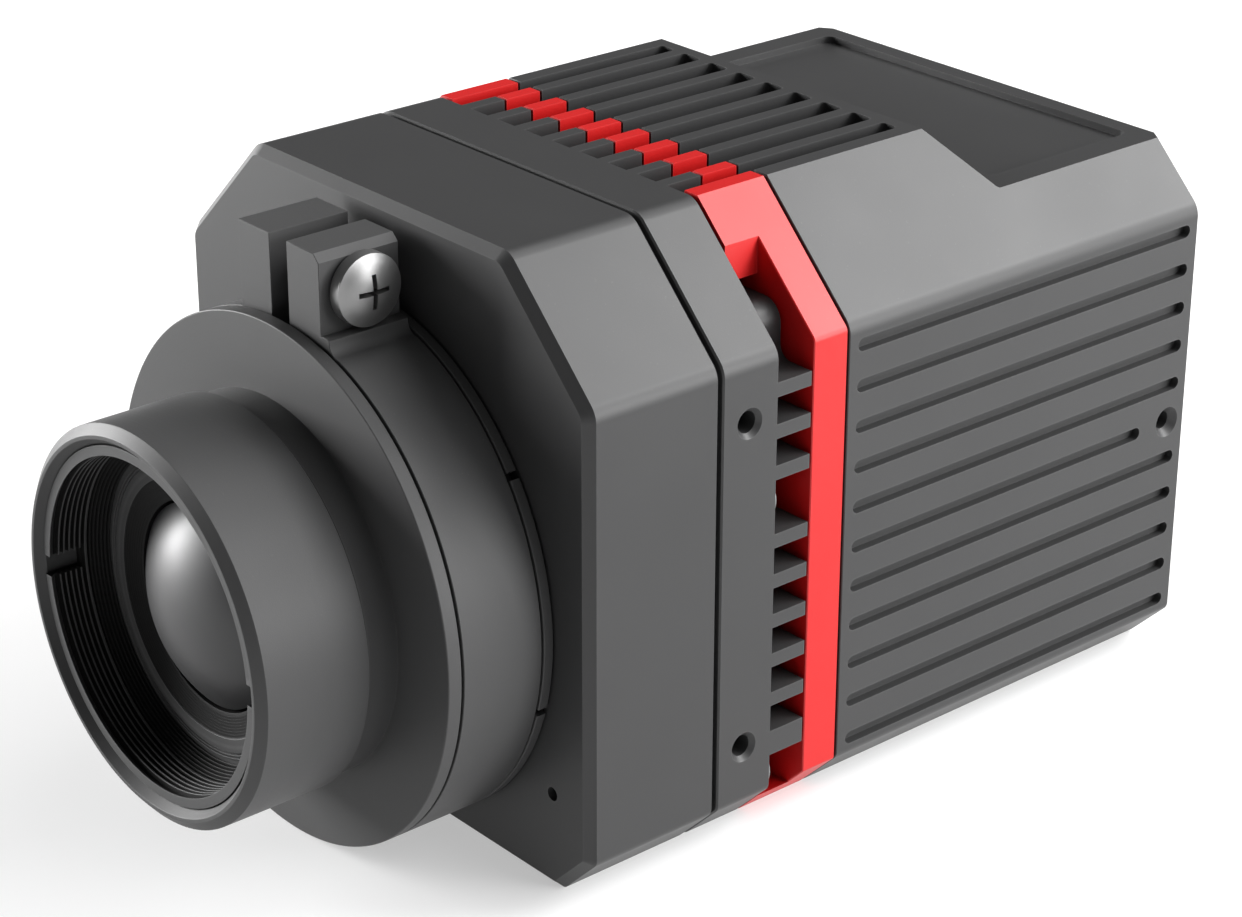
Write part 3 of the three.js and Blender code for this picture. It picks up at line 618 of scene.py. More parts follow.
def new_material(name):
    """Material with one Principled shader; returns material, tree and shader."""
    material = bpy.data.materials.new(name)
    material.use_nodes = True
    tree = material.node_tree
    return material, tree, tree.nodes["Principled BSDF"]


def scaled(colour, factor):
    """Colour made lighter or darker by a factor."""
    return tuple(min(1.0, c * factor) for c in colour[:3])


def anodised(name, colour, metallic, roughness, edge_highlight, turned_face=False, specular=0.5, grain=9000.0):
    """Satin anodised aluminium: blasted grain, faint cloudiness, a painted highlight along the edges and a
    little dust.
    """
    material, tree, shader = new_material(name)
    blasted = effect(tree, "Blasted Grain", Grain_Scale=grain)
    edge_light = effect(tree, "Painted Edge Highlight", Width=0.0003)
    dust = effect(tree, "Settled Dust")
    tone = mixed(tree, blasted.outputs["Cloud"], scaled(colour, 0.9), scaled(colour, 1.1))
    tone = mixed(tree, spread(tree, blasted.outputs["Grain"], 0.0, 0.35), tone, scaled(colour, 1.35))
    # Painted highlight: a lighter colour mixed in where the surface turns a corner.
    tone = mixed(tree, math_node(tree, "MULTIPLY", edge_light.outputs["Mask"], 0.5), tone, edge_highlight)
    tone = mixed(tree, dust.outputs["Mask"], tone, DUST)
    tree.links.new(tone, shader.inputs["Base Color"])
    rough = spread(tree, blasted.outputs["Cloud"], roughness - 0.05, roughness + 0.05)
    if turned_face:
        marks = effect(tree, "Turning Marks")
        rough = math_node(tree, "ADD", rough, spread(tree, marks.outputs["Rings"], -0.05, 0.05))
        bump = tree.nodes.new("ShaderNodeBump")
        bump.inputs["Strength"].default_value = 0.12
        bump.inputs["Distance"].default_value = 0.00001
        tree.links.new(marks.outputs["Rings"], bump.inputs["Height"])
        tree.links.new(blasted.outputs["Normal"], bump.inputs["Normal"])
        tree.links.new(bump.outputs["Normal"], shader.inputs["Normal"])
    else:
        tree.links.new(blasted.outputs["Normal"], shader.inputs["Normal"])
    tree.links.new(rough, shader.inputs["Roughness"])
    shader.inputs["Metallic"].default_value = metallic
    shader.inputs["Specular IOR Level"].default_value = specular
    return material


def speckled(name, colour, metallic, roughness, scale=3000.0, contrast=0.15, bump_depth=0.00002):
    """General finish with fine mottling in colour, roughness and height."""
    material, tree, shader = new_material(name)
    blasted = effect(tree, "Blasted Grain", Grain_Scale=scale, Grain_Depth=bump_depth, Cloud_Scale=scale / 40)
    tone = mixed(tree, blasted.outputs["Cloud"], scaled(colour, 1 - contrast), scaled(colour, 1 + contrast))
    tree.links.new(tone, shader.inputs["Base Color"])
    tree.links.new(spread(tree, blasted.outputs["Grain"], roughness - 0.06, roughness + 0.06),
                   shader.inputs["Roughness"])
    tree.links.new(blasted.outputs["Normal"], shader.inputs["Normal"])
    shader.inputs["Metallic"].default_value = metallic
    return material


def clear_glass(name, colour, roughness):
    """Polished glass that lets light through."""
    material, tree, shader = new_material(name)
    shader.inputs["Base Color"].default_value = (*colour, 1.0)
    shader.inputs["Metallic"].default_value = 0.0
    shader.inputs["Transmission Weight"].default_value = 1.0
    shader.inputs["IOR"].default_value = 1.5
    smear = noise_node(tree, 300.0, 3.0)
    tree.links.new(spread(tree, smear, roughness, roughness + 0.04), shader.inputs["Roughness"])
    return material


def coated_lens(name):
    """Front element: opaque infrared lens under a dark satin coating."""
    material, tree, shader = new_material(name)
    cloud = noise_node(tree, 90.0, 3.0)
    tone = mixed(tree, cloud, (0.03, 0.03, 0.031), (0.04, 0.04, 0.041))
    tree.links.new(tone, shader.inputs["Base Color"])
    tree.links.new(spread(tree, cloud, 0.44, 0.5), shader.inputs["Roughness"])
    shader.inputs["Metallic"].default_value = 0.25
    shader.inputs["Coat Weight"].default_value = 0.1
    shader.inputs["Coat Roughness"].default_value = 0.3
    return material


def circuit_board(name):
    """Green solder mask with copper traces showing through as paler lines."""
    material, tree, shader = new_material(name)
    place = tree.nodes.new("ShaderNodeTexCoord")
    brick = tree.nodes.new("ShaderNodeTexBrick")
    turn = tree.nodes.new("ShaderNodeMapping")
    turn.inputs["Rotation"].default_value = (math.radians(90), 0, 0)
    tree.links.new(place.outputs["Object"], turn.inputs["Vector"])
    tree.links.new(turn.outputs["Vector"], brick.inputs["Vector"])
    brick.inputs["Scale"].default_value = 420.0
    brick.inputs["Mortar Size"].default_value = 0.03
    brick.inputs["Color1"].default_value = (0.012, 0.085, 0.035, 1)
    brick.inputs["Color2"].default_value = (0.016, 0.11, 0.045, 1)
    brick.inputs["Mortar"].default_value = (0.04, 0.2, 0.09, 1)
    tree.links.new(brick.outputs["Color"], shader.inputs["Base Color"])
    cloud = noise_node(tree, 250.0, 3.0)
    tree.links.new(spread(tree, cloud, 0.35, 0.5), shader.inputs["Roughness"])
    return material


# Colour of the painted highlight along edges; the red finish passes its own lighter red.
EDGE_HIGHLIGHT_COLOUR = (0.12, 0.12, 0.12)

FINISHES = {
    "Body Anodised": lambda n: anodised(n, colours().body, 0.0, 0.42, EDGE_HIGHLIGHT_COLOUR, specular=0.3),
    "Lens Anodised": lambda n: anodised(n, colours().lens, 0.0, 0.5, EDGE_HIGHLIGHT_COLOUR, True, 0.2),
    "Red Anodised": lambda n: anodised(n, colours().red, 0.0, 0.42, (0.7, 0.06, 0.06), specular=0.35),
    "Inner Anodised": lambda n: anodised(n, (0.01, 0.01, 0.01), 0.0, 0.55, (0.04, 0.04, 0.04), specular=0.3),
    # Painted shade: near-black finish for the gaps of ringed bores and the cell's mouth, where shade falls.
    "Bore Painted Shade": lambda n: anodised(n, (0.008, 0.008, 0.008), 0.0, 0.5, (0.02, 0.02, 0.02), True, 0.08),
    "Stainless Steel": lambda n: speckled(n, colours().steel, 0.85, 0.38, 6000.0, 0.08),
    "Turned Brass": lambda n: speckled(n, (0.7, 0.52, 0.25), 1.0, 0.32, 5000.0, 0.1),
    "Coated Element": coated_lens,
    "Window Glass": lambda n: clear_glass(n, (0.9, 0.95, 0.94), 0.0),
    "Bare Copper": lambda n: speckled(n, (0.78, 0.36, 0.2), 1.0, 0.3, 4000.0, 0.12),
    "White Ceramic": lambda n: speckled(n, (0.82, 0.81, 0.76), 0.0, 0.45, 3000.0, 0.06),
    "Solder Mask": circuit_board,
    "Sensor Face": lambda n: speckled(n, (0.03, 0.028, 0.045), 0.0, 0.2, 2500.0, 0.2),
    "Seal Rubber": lambda n: speckled(n, (0.015, 0.015, 0.015), 0.0, 0.8, 2500.0, 0.2),
    "Moulded Plastic": lambda n: speckled(n, (0.02, 0.02, 0.022), 0.0, 0.5, 3500.0, 0.2, 0.00004),
    "Nickel Plate": lambda n: speckled(n, (0.62, 0.6, 0.56), 1.0, 0.24, 5000.0, 0.07),
    "Light Pipe": lambda n: speckled(n, (0.16, 0.5, 0.22), 0.0, 0.3, 2500.0, 0.08),
}


def finish(name):
    """The material of that name, made on first use."""
    return bpy.data.materials.get(name) or FINISHES[name](name)


# ---- Housings ----------------------------------------------------------------------------
def build_front_housing():
    """Octagonal shell, open behind, with screw posts and a seat for the seal."""
    edge = sizes().edge_break
    outline = section(0, HEIGHT, FILLET, FILLET)
    body = prism(outline, 0, PARTING_FRONT, sizes().front_bevel, edge)
    posts = [keep_inside(post, prism(section(2.2), 3, PARTING_FRONT))
             for post in bores(HOUSING_SCREWS, SCREW_POST_RADIUS, HOUSING_WALL, PARTING_FRONT - 0.1, 48)]
    body = cut(body, prism(section(HOUSING_WALL), FACE_WALL, PARTING_FRONT + 1))
    body = join(body, *posts)
    holes = [disc(SLEEVE_RADIUS + GAP, -1, FACE_WALL + 1, segments=sizes().turning_segments)]
    holes += [disc(PIN_HOLE_RADIUS, -1, PIN_HOLE_DEPTH, side * PIN_HOLE_X, PIN_HOLE_Z, 40)
              for side in (-1, 1)]
    holes += bores(HOUSING_SCREWS, M3_PASSAGE, 8, PARTING_FRONT + 1, 32)
    body = cut(body, *holes)
    seal_seat = prism(section(SEAL_SEAT_OUTER), SEAL_SEAT_FRONT, PARTING_FRONT + 1)
    island = prism(section(SEAL_SEAT_INNER), SEAL_SEAT_FRONT - 0.15, PARTING_FRONT + 2)
    return cut(body, cut(seal_seat, island))


def side_fin(side, z0, z1):
    """Fin that runs back from the plate on one side."""
    return block(side * FIN_ROOT, side * (HALF + 1), PLATE_REAR - 0.5, FIN_TIP, z0, z1)


def build_heat_sink():
    """Plate with fins and corner bosses, and a pocket for the cooler."""
    edge = sizes().edge_break
    outline = section(0, HEIGHT, FILLET, FILLET)
    plate = prism(outline, SINK_FRONT + 0.3, PLATE_REAR, edge, edge)
    land = prism(section(0.8, HEIGHT - 0.8, FILLET - 0.4, FILLET - 0.4), SINK_FRONT, PLATE_REAR - 1)
    fins = []
    for side in (-1, 1):
        centres = [UPPER_FIN_Z - k * PITCH for k in range(3)] + [LOWER_FIN_Z - k * PITCH for k in range(5)]
        fins += [side_fin(side, z - FIN / 2, z + FIN / 2) for z in centres]
        fins.append(side_fin(side, *FOOT_FIN))
        boss = rounded([
            (side * FIN_ROOT, 50, 0), (side * 31, 50, 0), (side * 31, 50.73, 0), (side * 28.7, 50.73, 1.6),
            (side * 28.7, 56.7, 2.4), (side * FIN_ROOT, 56.7, 1),
        ])
        fins.append(prism(boss, PLATE_REAR - 0.5, FIN_TIP, 0, 0))
        for k in range(4):
            x = side * (k + 0.5) * PITCH
            fins.append(block(x - FIN / 2, x + FIN / 2, PLATE_REAR - 0.5, FIN_TIP, 50, HEIGHT + 1))
    trimmed = [keep_inside(fin, prism(outline, PLATE_REAR - 1, FIN_TIP + 1)) for fin in fins]
    body = join(plate, land, *trimmed)
    holes = bores(HOUSING_SCREWS, M3_CLEARANCE, SINK_FRONT - 1, PLATE_REAR + 1, 40)
    for side in (-1, 1):
        for z in SIDE_HOLE_HEIGHTS:
            mouth = [(0, side * (HALF - 8)), (1.17, side * (HALF - 8)), (1.17, side * (HALF - 0.5)),
                     (1.67, side * HALF), (1.67, side * (HALF + 1)), (0, side * (HALF + 1))]
            holes.append(turned(mouth, (SIDE_HOLE_STATION, z), X, 56))
    pocket = COOLER_POCKET_HALF
    holes.append(block(-pocket, pocket, SINK_FRONT - 1, COOLER_POCKET_REAR, LENS_Z - pocket, LENS_Z + pocket))
    holes.append(block(-WIRE_SLOT_HALF, WIRE_SLOT_HALF, SINK_FRONT - 1, PLATE_REAR + 1, 45.2, 48.2))
    return cut(body, *holes)


def vent_cutters(y0, y1, radius):
    """Shafts that open the top between the ribs, rounded at their rear ends."""
    middles = [(k * PITCH, SLOT) for k in range(-3, 4)]
    middles += [(side * END_SLOT_X, END_SLOT_WIDTH) for side in (-1, 1)]
    shafts = []
    for x, width in middles:
        outline = rounded([(x - width / 2, y0, 0), (x + width / 2, y0, 0),
                           (x + width / 2, y1, radius), (x - width / 2, y1, radius)], 5)
        shafts.append(prism(outline, VENT_FLOOR, HEIGHT + 1, place=along_z))
    return shafts


def build_red_frame():
    """Thin plate round the fan, with bridges that reach forward over the gap."""
    edge = sizes().edge_break * 0.6
    outline = section(0, HEIGHT, 0, 1)
    body = prism(outline, FRAME_FRONT, FRAME_REAR, edge, edge)
    bridges = [block(side * 18.73, side * 24.8, BRIDGE_FRONT, FRAME_FRONT + 1, 58.5, HEIGHT + 1)
               for side in (-1, 1)]
    bridges.append(block(-HALF, HALF, BRIDGE_FRONT, FRAME_FRONT + 1, -1, 2.8))
    trimmed = [keep_inside(b, prism(outline, BRIDGE_FRONT, FRAME_FRONT + 2)) for b in bridges]
    body = join(body, *trimmed)
    holes = [disc(FAN_OPENING, FRAME_FRONT - 1, FRAME_REAR + 1, 0, FAN_Z, 96)]
    holes += bores(FAN_SCREWS, M3_PASSAGE, FRAME_FRONT + 1, FRAME_REAR + 1, 32)
    return cut(body, *holes, *vent_cutters(PLATE_REAR, FRAME_REAR + 2, 0.5))


def groove_cutter(side, z, end):
    """Round-ended groove in a side of the casing."""
    half, bend = GROOVE_WIDTH / 2, GROOVE_WIDTH / 2 * 0.999
    outline = rounded([(GROOVE_START, z - half, bend), (end, z - half, bend),
                       (end, z + half, bend), (GROOVE_START, z + half, bend)], 8)
    floor = side * (HALF - sizes().groove_depth)
    outer = side * (HALF + 1)
    return prism(outline, floor, outer, place=along_x)


def build_rear_casing():
    """Casing with a vented slab, a ramp to the lower top, a bulkhead and screw posts."""
    edge = sizes().edge_break
    body = prism(section(0, HEIGHT, 0, FILLET), CASING_FRONT, CASING_REAR, edge * 0.5, 1.0)
    step = rounded([(RAMP_TOP, HEIGHT, 0), (RAMP_TOP, HEIGHT + 2, 0), (CASING_REAR + 2, HEIGHT + 2, 0),
                    (CASING_REAR + 2, LOW_TOP, 0), (RAMP_FOOT, LOW_TOP, 0.8)])
    wedge = prism(step, -HALF - 2, HALF + 2, place=along_x)
    body = cut(body, wedge, prism(section(WALL, VENT_FLOOR + 1), CASING_FRONT - 1, BULKHEAD_FRONT),
               prism(section(WALL, LOW_TOP - WALL), BULKHEAD_REAR, CASING_REAR + 1))
    body = cut(body, *vent_cutters(CASING_FRONT - 2, SLOT_REAR, 0.6))
    label = rounded([(-LABEL_HALF, LABEL_FRONT, 0.8), (LABEL_HALF, LABEL_FRONT, 0.8),
                     (LABEL_HALF, LABEL_REAR, 1.2), (-LABEL_HALF, LABEL_REAR, 1.2)])
    cutters = [prism(label, LOW_TOP - LABEL_DEPTH, LOW_TOP + 1, place=along_z)]
    for i in range(GROOVES):
        end = SHORT_GROOVE_END if i == SHORT_GROOVE else GROOVE_END
        cutters += [groove_cutter(side, GROOVE_TOP - i * PITCH, end) for side in (-1, 1)]
    for side in (-1, 1):
        mouth = [(0, side * (HALF - 2.6)), (1.03, side * (HALF - 2.6)), (1.03, side * (HALF - 0.77)),
                 (1.8, side * HALF), (1.8, side * (HALF + 1)), (0, side * (HALF + 1))]
        cutters.append(turned(mouth, REAR_HOLE, X, 56))
    body = cut(body, *cutters)
    posts = bores(PANEL_SCREWS, 3.6, BULKHEAD_REAR - 1, 84.7, 40)
    body = join(body, *posts, block(-8, 8, 47, BULKHEAD_FRONT + 1, 1, 7.5))
    holes = bores(PANEL_SCREWS, M3_PASSAGE, 76, 90, 32)
    holes += bores(BOARD_SCREWS, 1.3, BULKHEAD_REAR - 2, BULKHEAD_REAR + 1, 24)
    insert_seat = [(0, -2.5), (4.8, -2.5), (4.8, 7.05), (0, 7.05)]
    holes.append(turned(insert_seat, (0, middle("tripod_insert", Y)), Z, 64))
    holes.append(block(-WIRE_SLOT_HALF, WIRE_SLOT_HALF, BULKHEAD_FRONT - 1, BULKHEAD_REAR + 1, 47, 51))
    return cut(body, *holes)


# ---- Lens --------------------------------------------------------------------------------
def lathe(profile, radius=0.12, steps=3):
    """Turned lens piece with small rounded edges."""
    return turned(soften(profile, radius, steps), segments=sizes().turning_segments)


def ring_grooves(r0, y0, r1, y1, depth, pitch=None, face=False):
    """Points of a thread-like row of rings between two ends of a bore, or of a flat front face."""
    pitch = pitch or sizes().thread_pitch
    length = math.dist((r0, y0), (r1, y1))
    count = max(2, round(length / pitch))
    points = []
    for i in range(count):
        for share, sink in ((0.02, 0.0), (0.3, 0.0), (0.4, depth), (0.92, depth)):
            t = (i + share) / count
            outward, backward = (0, sink) if face else (sink, 0)
            points.append((r0 + (r1 - r0) * t + outward, y0 + (y1 - y0) * t + backward))
    return points


def paint_bore_shade(obj, radius, front, crest=None):
    """Paints shade onto the faces inside a radius and behind a station: a near-black finish that stands for
    the shade in the bore's grooves.

    Faces closer to the axis than crest keep the piece's own finish.
    """
    obj.data.materials.append(finish("Bore Painted Shade"))
    for face in obj.data.polygons:
        spots = [obj.data.vertices[i].co for i in face.vertices]
        reach = sum(math.hypot(spot.x, spot.z - LENS_Z * MM) for spot in spots) / len(spots) / MM
        station = (sum(spot.y for spot in spots) / len(spots) - FRONT_FACE) / MM
        if (crest or 0) < reach < radius and station > front:
            face.material_index = 1


def build_lock_ring():
    """Sleeve with a rim against the front housing, notched for a spanner."""
    seat_front = low("clamp_ring", Y) + 0.2
    rim_front = high("clamp_ring", Y) + GAP
    rear = high("lens_lock_ring", Y)
    body = lathe([(SLEEVE_BORE, seat_front), (SLEEVE_RADIUS, seat_front), (SLEEVE_RADIUS, rim_front),
                  (FLANGE_RADIUS, rim_front), (FLANGE_RADIUS, -GAP), (SLEEVE_RADIUS, -GAP),
                  (SLEEVE_RADIUS, rear), (SLEEVE_BORE, rear)])
    notches = []
    for bearing in SPANNER_NOTCHES:
        angle = math.radians(bearing)
        notch = block(-2.0, 2.0, rim_front - 1, 0.6, -NOTCH_WIDTH / 2, NOTCH_WIDTH / 2)
        outward = Matrix.Translation(((FLANGE_RADIUS + 0.55) * MM, 0, 0))
        about = Matrix.Translation((0, 0, LENS_Z * MM)) @ Matrix.Rotation(-angle, 4, "Y")
        notch.data.transform(about @ outward)
        notches.append(notch)
    return cut(body, *notches)


def build_clamp_ring():
    """Ring split at the top, with two ears that the clamp screw draws together."""
    front, rear = low("clamp_ring", Y), high("clamp_ring", Y)
    top = high("clamp_ring", Z)
    ear, slit, inner, ear_edge = 6.7, 1.45, SLEEVE_RADIUS + GAP, 0.8
    seat_top = 56.6
    steps = sizes().turning_segments
    inner_start = math.asin(slit / inner)
    seat_end = 9.5
    seat_angle = math.asin(seat_end / FLANGE_RADIUS)
    seat_foot = LENS_Z + FLANGE_RADIUS * math.cos(seat_angle)
    blend = []
    for k in range(7):
        turn = math.radians(90) * k / 6
        drop = (seat_top - seat_foot) * math.sin(turn) ** 0.8
        blend.append((seat_end - 1.5 * math.cos(turn), seat_top - drop))
    outline = [(slit, LENS_Z + inner * math.cos(inner_start)), (slit, top), (ear - ear_edge, top),
               (ear, top - ear_edge), (ear, 56.75), (ear + 0.9, 56.75), *blend[:-1]]
    left_angle = 2 * math.pi - math.asin(ear / FLANGE_RADIUS)
    for k in range(steps + 1):
        angle = seat_angle + (left_angle - seat_angle) * k / steps
        outline.append((FLANGE_RADIUS * math.sin(angle), LENS_Z + FLANGE_RADIUS * math.cos(angle)))
    outline += [(-ear, top), (-slit, top), (-slit, LENS_Z + inner * math.cos(inner_start))]
    for k in range(1, steps):
        angle = 2 * math.pi - inner_start - (2 * math.pi - 2 * inner_start) * k / steps
        outline.append((inner * math.sin(angle), LENS_Z + inner * math.cos(angle)))
    body = prism(outline, front, rear, 0.06, 0.06)
    line = ((front + rear) / 2, middle("clamp_screw", Z))
    return cut(body, turned([(0, 1), (2.2, 1), (2.2, 8), (0, 8)], line, X, 48),
               turned([(0, -8), (2.15, -8), (2.15, -1), (0, -1)], line, X, 48))


def build_flange():
    """Thin broad disc with a neck in front for the barrel and a sleeve behind."""
    front, rear = low("lens_flange", Y), high("lens_flange", Y)
    disc_rear = low("clamp_ring", Y) - GAP
    return lathe([(CELL_RADIUS + GAP, front), (NECK_BORE, front), (NECK_BORE, BARREL_REAR + GAP),
                  (NECK_RADIUS, BARREL_REAR + GAP), (NECK_RADIUS, DISC_FRONT),
                  (FLANGE_RADIUS, DISC_FRONT), (FLANGE_RADIUS, disc_rear),
                  (SLEEVE_BORE - GAP, disc_rear), (SLEEVE_BORE - GAP, rear), (20, rear), (20, -9),
                  (CELL_RADIUS + GAP, -9)], 0.15)


def build_barrel():
    """Barrel with a chamfered rim and a stepped, grooved bore."""
    mouth = LENS_FRONT + 1
    seat = RING_RADIUS + 0.06
    funnel = ring_grooves(17.4, ELEMENT_SEAT, 16.1, -22.35, 0.35, 0.39)
    profile = [(19.45, LENS_FRONT), (19.85, LENS_FRONT), (BARREL_RADIUS, LENS_FRONT + 0.85),
               (BARREL_RADIUS, BARREL_REAR), (19.4, BARREL_REAR), (19.4, -19.2), (CELL_RADIUS + 0.9, -19.2),
               (CELL_RADIUS + 0.9, -22.3), *reversed(funnel), (17.5, ELEMENT_SEAT),
               (seat, ELEMENT_SEAT), (seat, mouth)]
    return lathe(profile, 0.1)


def build_retaining_ring():
    """Ring in the barrel's mouth, with two slots across its face and a ringed bore."""
    front, rear = low("front_retaining_ring", Y), high("front_retaining_ring", Y)
    bore = ring_grooves(RING_BORE, rear - 0.1, RING_BORE, front + 0.55, 0.5)
    body = lathe([(RING_BORE, front), (RING_RADIUS, front), (RING_RADIUS, rear), (RING_BORE, rear),
                  *bore], 0.06)
    slots = [block(side * 16.5, side * 19.5, front - 1, front + 3.75, LENS_Z - 1.1, LENS_Z + 1.1)
             for side in (-1, 1)]
    return cut(body, *slots)


def build_lens_cell():
    """Cell that holds both elements, ringed on its face and down to the front one."""
    front, rear = low("lens_cell", Y), high("lens_cell", Y)
    steps = ring_grooves(13.5, front + 0.1, 11.2, front + 0.75, 0.14, 0.29)
    rings = ring_grooves(14.95, front, 15.95, front, 0.4, 0.36, face=True)
    return lathe([(13.6, front), *rings, (CELL_RADIUS, front), (CELL_RADIUS, rear), (11, rear), (11, -4.5),
                  (12.3, -4.5), (12.3, -9.5), (10.2, -9.5), (10.2, -15.6), (11.1, -15.6), (11.1, front + 0.8),
                  *reversed(steps)], 0.06)


def build_element(node, sphere, edge_front):
    """Element with a spherical front of a given radius and a flat back."""
    radius, rear = high(node, X), high(node, Y)
    centre = edge_front + math.sqrt(sphere ** 2 - radius ** 2)
    crown = []
    for k in range(29):
        angle = math.asin(radius / sphere) * k / 28
        crown.append((sphere * math.sin(angle), centre - sphere * math.cos(angle)))
    crown[0] = (0, crown[0][1])
    return turned([*crown, (radius, rear), (0, rear)], segments=sizes().turning_segments)


# ---- Screws ------------------------------------------------------------------------------
def pan_screw(node, axis, shank, height, flank_share):
    """Domed head with a straight flank, a cross recess and a plain shank, looking along +axis."""
    head, tip = high(node, axis), low(node, axis)
    rim = head - height
    radius = max(high(node, k) - low(node, k) for k in (X, Y, Z) if k != axis) / 2
    centre = tuple(middle(node, k) for k in (X, Y, Z) if k != axis)
    flank = rim + height * flank_share
    crown = [(radius, flank - 0.05), (radius - 0.02, flank + 0.03)]
    for k in range(1, 12):
        reach = 1 - k / 11
        crown.append((radius * reach * 0.98, flank + (head - flank) * (1 - reach ** 2)))
    profile = [(0, tip), (shank * 0.75, tip), (shank, tip + shank * 0.5), (shank, rim),
               (radius - 0.08, rim), (radius, rim + 0.08), *crown]
    body = turned(profile, centre, axis, 96)
    arm, half = radius * 0.48, radius * 0.07
    floor, mouth = rim + height * 0.15, head + 1
    cutters = []
    for wide, tall in ((arm, half), (half, arm)):
        outline = [(centre[0] - wide, centre[1] - tall), (centre[0] + wide, centre[1] - tall),
                   (centre[0] + wide, centre[1] + tall), (centre[0] - wide, centre[1] + tall)]
        cutters.append(prism(outline, floor, mouth, place=along_x if axis == X else along_y))
    return cut(body, *cutters)


# ---- Fan, rear panel and sockets ---------------------------------------------------------
def spun(obj, angle, x, z):
    """Turns an object's mesh about a line along Y."""
    line = Vector((x * MM, 0, z * MM))
    obj.data.transform(Matrix.Translation(line) @ Matrix.Rotation(angle, 4, "Y") @ Matrix.Translation(-line))
    return obj


def round_square(half, x, z, radius):
    """Square outline with rounded corners about a point."""
    return rounded([(x + a * half, z + b * half, radius) for a, b in ((-1, -1), (1, -1), (1, 1), (-1, 1))])


def build_fan_frame():
    """Square frame with a waist, a flared throat, three struts and a hub plate."""
    front, rear, half = low("fan_frame", Y), high("fan_frame", Y), high("fan_frame", X)
    body = prism(round_square(half, 0, FAN_Z, 2.4), front, rear, 0.3, 0.3)
    throat = [(0, front - 1), (19.2, front - 1), (19.2, front), (18.3, front + 1.4), (18.3, rear - 1),
              (18.8, rear), (18.8, rear + 1), (0, rear + 1)]
    waist = cut(prism(round_square(half + 1, 0, FAN_Z, 2), front + 2.4, rear - 2.4),
                disc(20.2, front, rear, 0, FAN_Z, 96),
                prism(round_square(half - 0.5, 0, FAN_Z, 2), front, rear))
    body = cut(body, turned(throat, (0, FAN_Z), Y, 128), waist)
    struts = [spun(block(8, 19.4, rear - 1.2, rear, FAN_Z - 1.2, FAN_Z + 1.2), k * 2 * math.pi / 3, 0, FAN_Z)
              for k in range(3)]
    body = join(body, turned([(0, rear - 1.2), (9, rear - 1.2), (9, rear - 0.3), (8.7, rear), (0, rear)],
                             (0, FAN_Z), Y, 96), *struts)
    holes = bores(FAN_SCREWS, 1.7, front - 1, rear + 1, 40)
    return cut(body, *holes)


def fan_blade(mid):
    """Twisted, cambered blade that runs out along +X from the hub."""
    verts, sections = [], []
    for i in range(7):
        reach = 8.6 + 8.9 * i / 6
        pitch = math.radians(46 - 14 * i / 6)
        half = 4.2 + 0.5 * i / 6
        upper, lower = [], []
        for k in range(9):
            t = -1 + 2 * k / 8
            camber = 0.7 * (1 - t * t)
            thick = 0.16 + 0.34 * math.sqrt(max(0.0, 1 - t * t))
            upper.append((t * half, camber + thick))
            lower.append((t * half, camber - thick))
        ring = []
        for along, lift in upper + lower[::-1]:
            ring.append(len(verts))
            across = along * math.cos(pitch) - lift * math.sin(pitch)
            verts.append((reach, mid + along * math.sin(pitch) + lift * math.cos(pitch), FAN_Z + across))
        sections.append(ring)
    faces = [sections[0], sections[-1]]
    count = len(sections[0])
    for here, after in zip(sections, sections[1:]):
        faces += [(here[k], here[(k + 1) % count], after[(k + 1) % count], after[k]) for k in range(count)]
    return new_object("blade", verts, faces)


def build_fan_rotor():
    """Hub with seven blades."""
    front, rear = low("fan_rotor", Y), high("fan_rotor", Y)
    hub = turned([(0, front), (8.6, front), (9.4, front + 0.8), (9.4, rear - 0.3), (9.1, rear), (0, rear)],
                 (0, FAN_Z), Y, 96)
    blades = []
    for k in range(7):
        blade = spun(fan_blade((front + rear) / 2), k * 2 * math.pi / 7, 0, FAN_Z)
        blades.append(keep_inside(blade, disc(17.5, front, rear, 0, FAN_Z, 128)))
    return join(hub, *blades)


def build_rear_panel():
    """Panel with openings for its sockets, status light and screws."""
    front, rear = low("rear_panel", Y), high("rear_panel", Y)
    plate = prism(section(WALL + GAP, LOW_TOP - WALL - GAP, 1, 1), front, rear, 0.2, 0.4)
    holes = []
    for node, margin in (("power_socket", GAP - SOCKET_FLANGE), ("sync_socket", GAP - SOCKET_FLANGE),
                         ("status_light", GAP)):
        radius = high(node, X) - middle(node, X) + margin
        mouth = [(0, front - 1), (radius, front - 1), (radius, rear - 0.25), (radius + 0.25, rear),
                 (radius + 0.25, rear + 1), (0, rear + 1)]
        holes.append(turned(mouth, (middle(node, X), middle(node, Z)), Y, 72))
    holes += bores(PANEL_SCREWS, 1.7, front - 1, rear + 1, 40)
    x0, x1 = low("data_socket", X) - GAP, high("data_socket", X) + GAP
    z0, z1 = low("data_socket", Z) - GAP, high("data_socket", Z) + GAP
    window = rounded([(x0, z0, 0.5), (x1, z0, 0.5), (x1, z1, 0.5), (x0, z1, 0.5)], 4)
    return cut(plate, *holes, prism(window, front - 1, rear + 1))


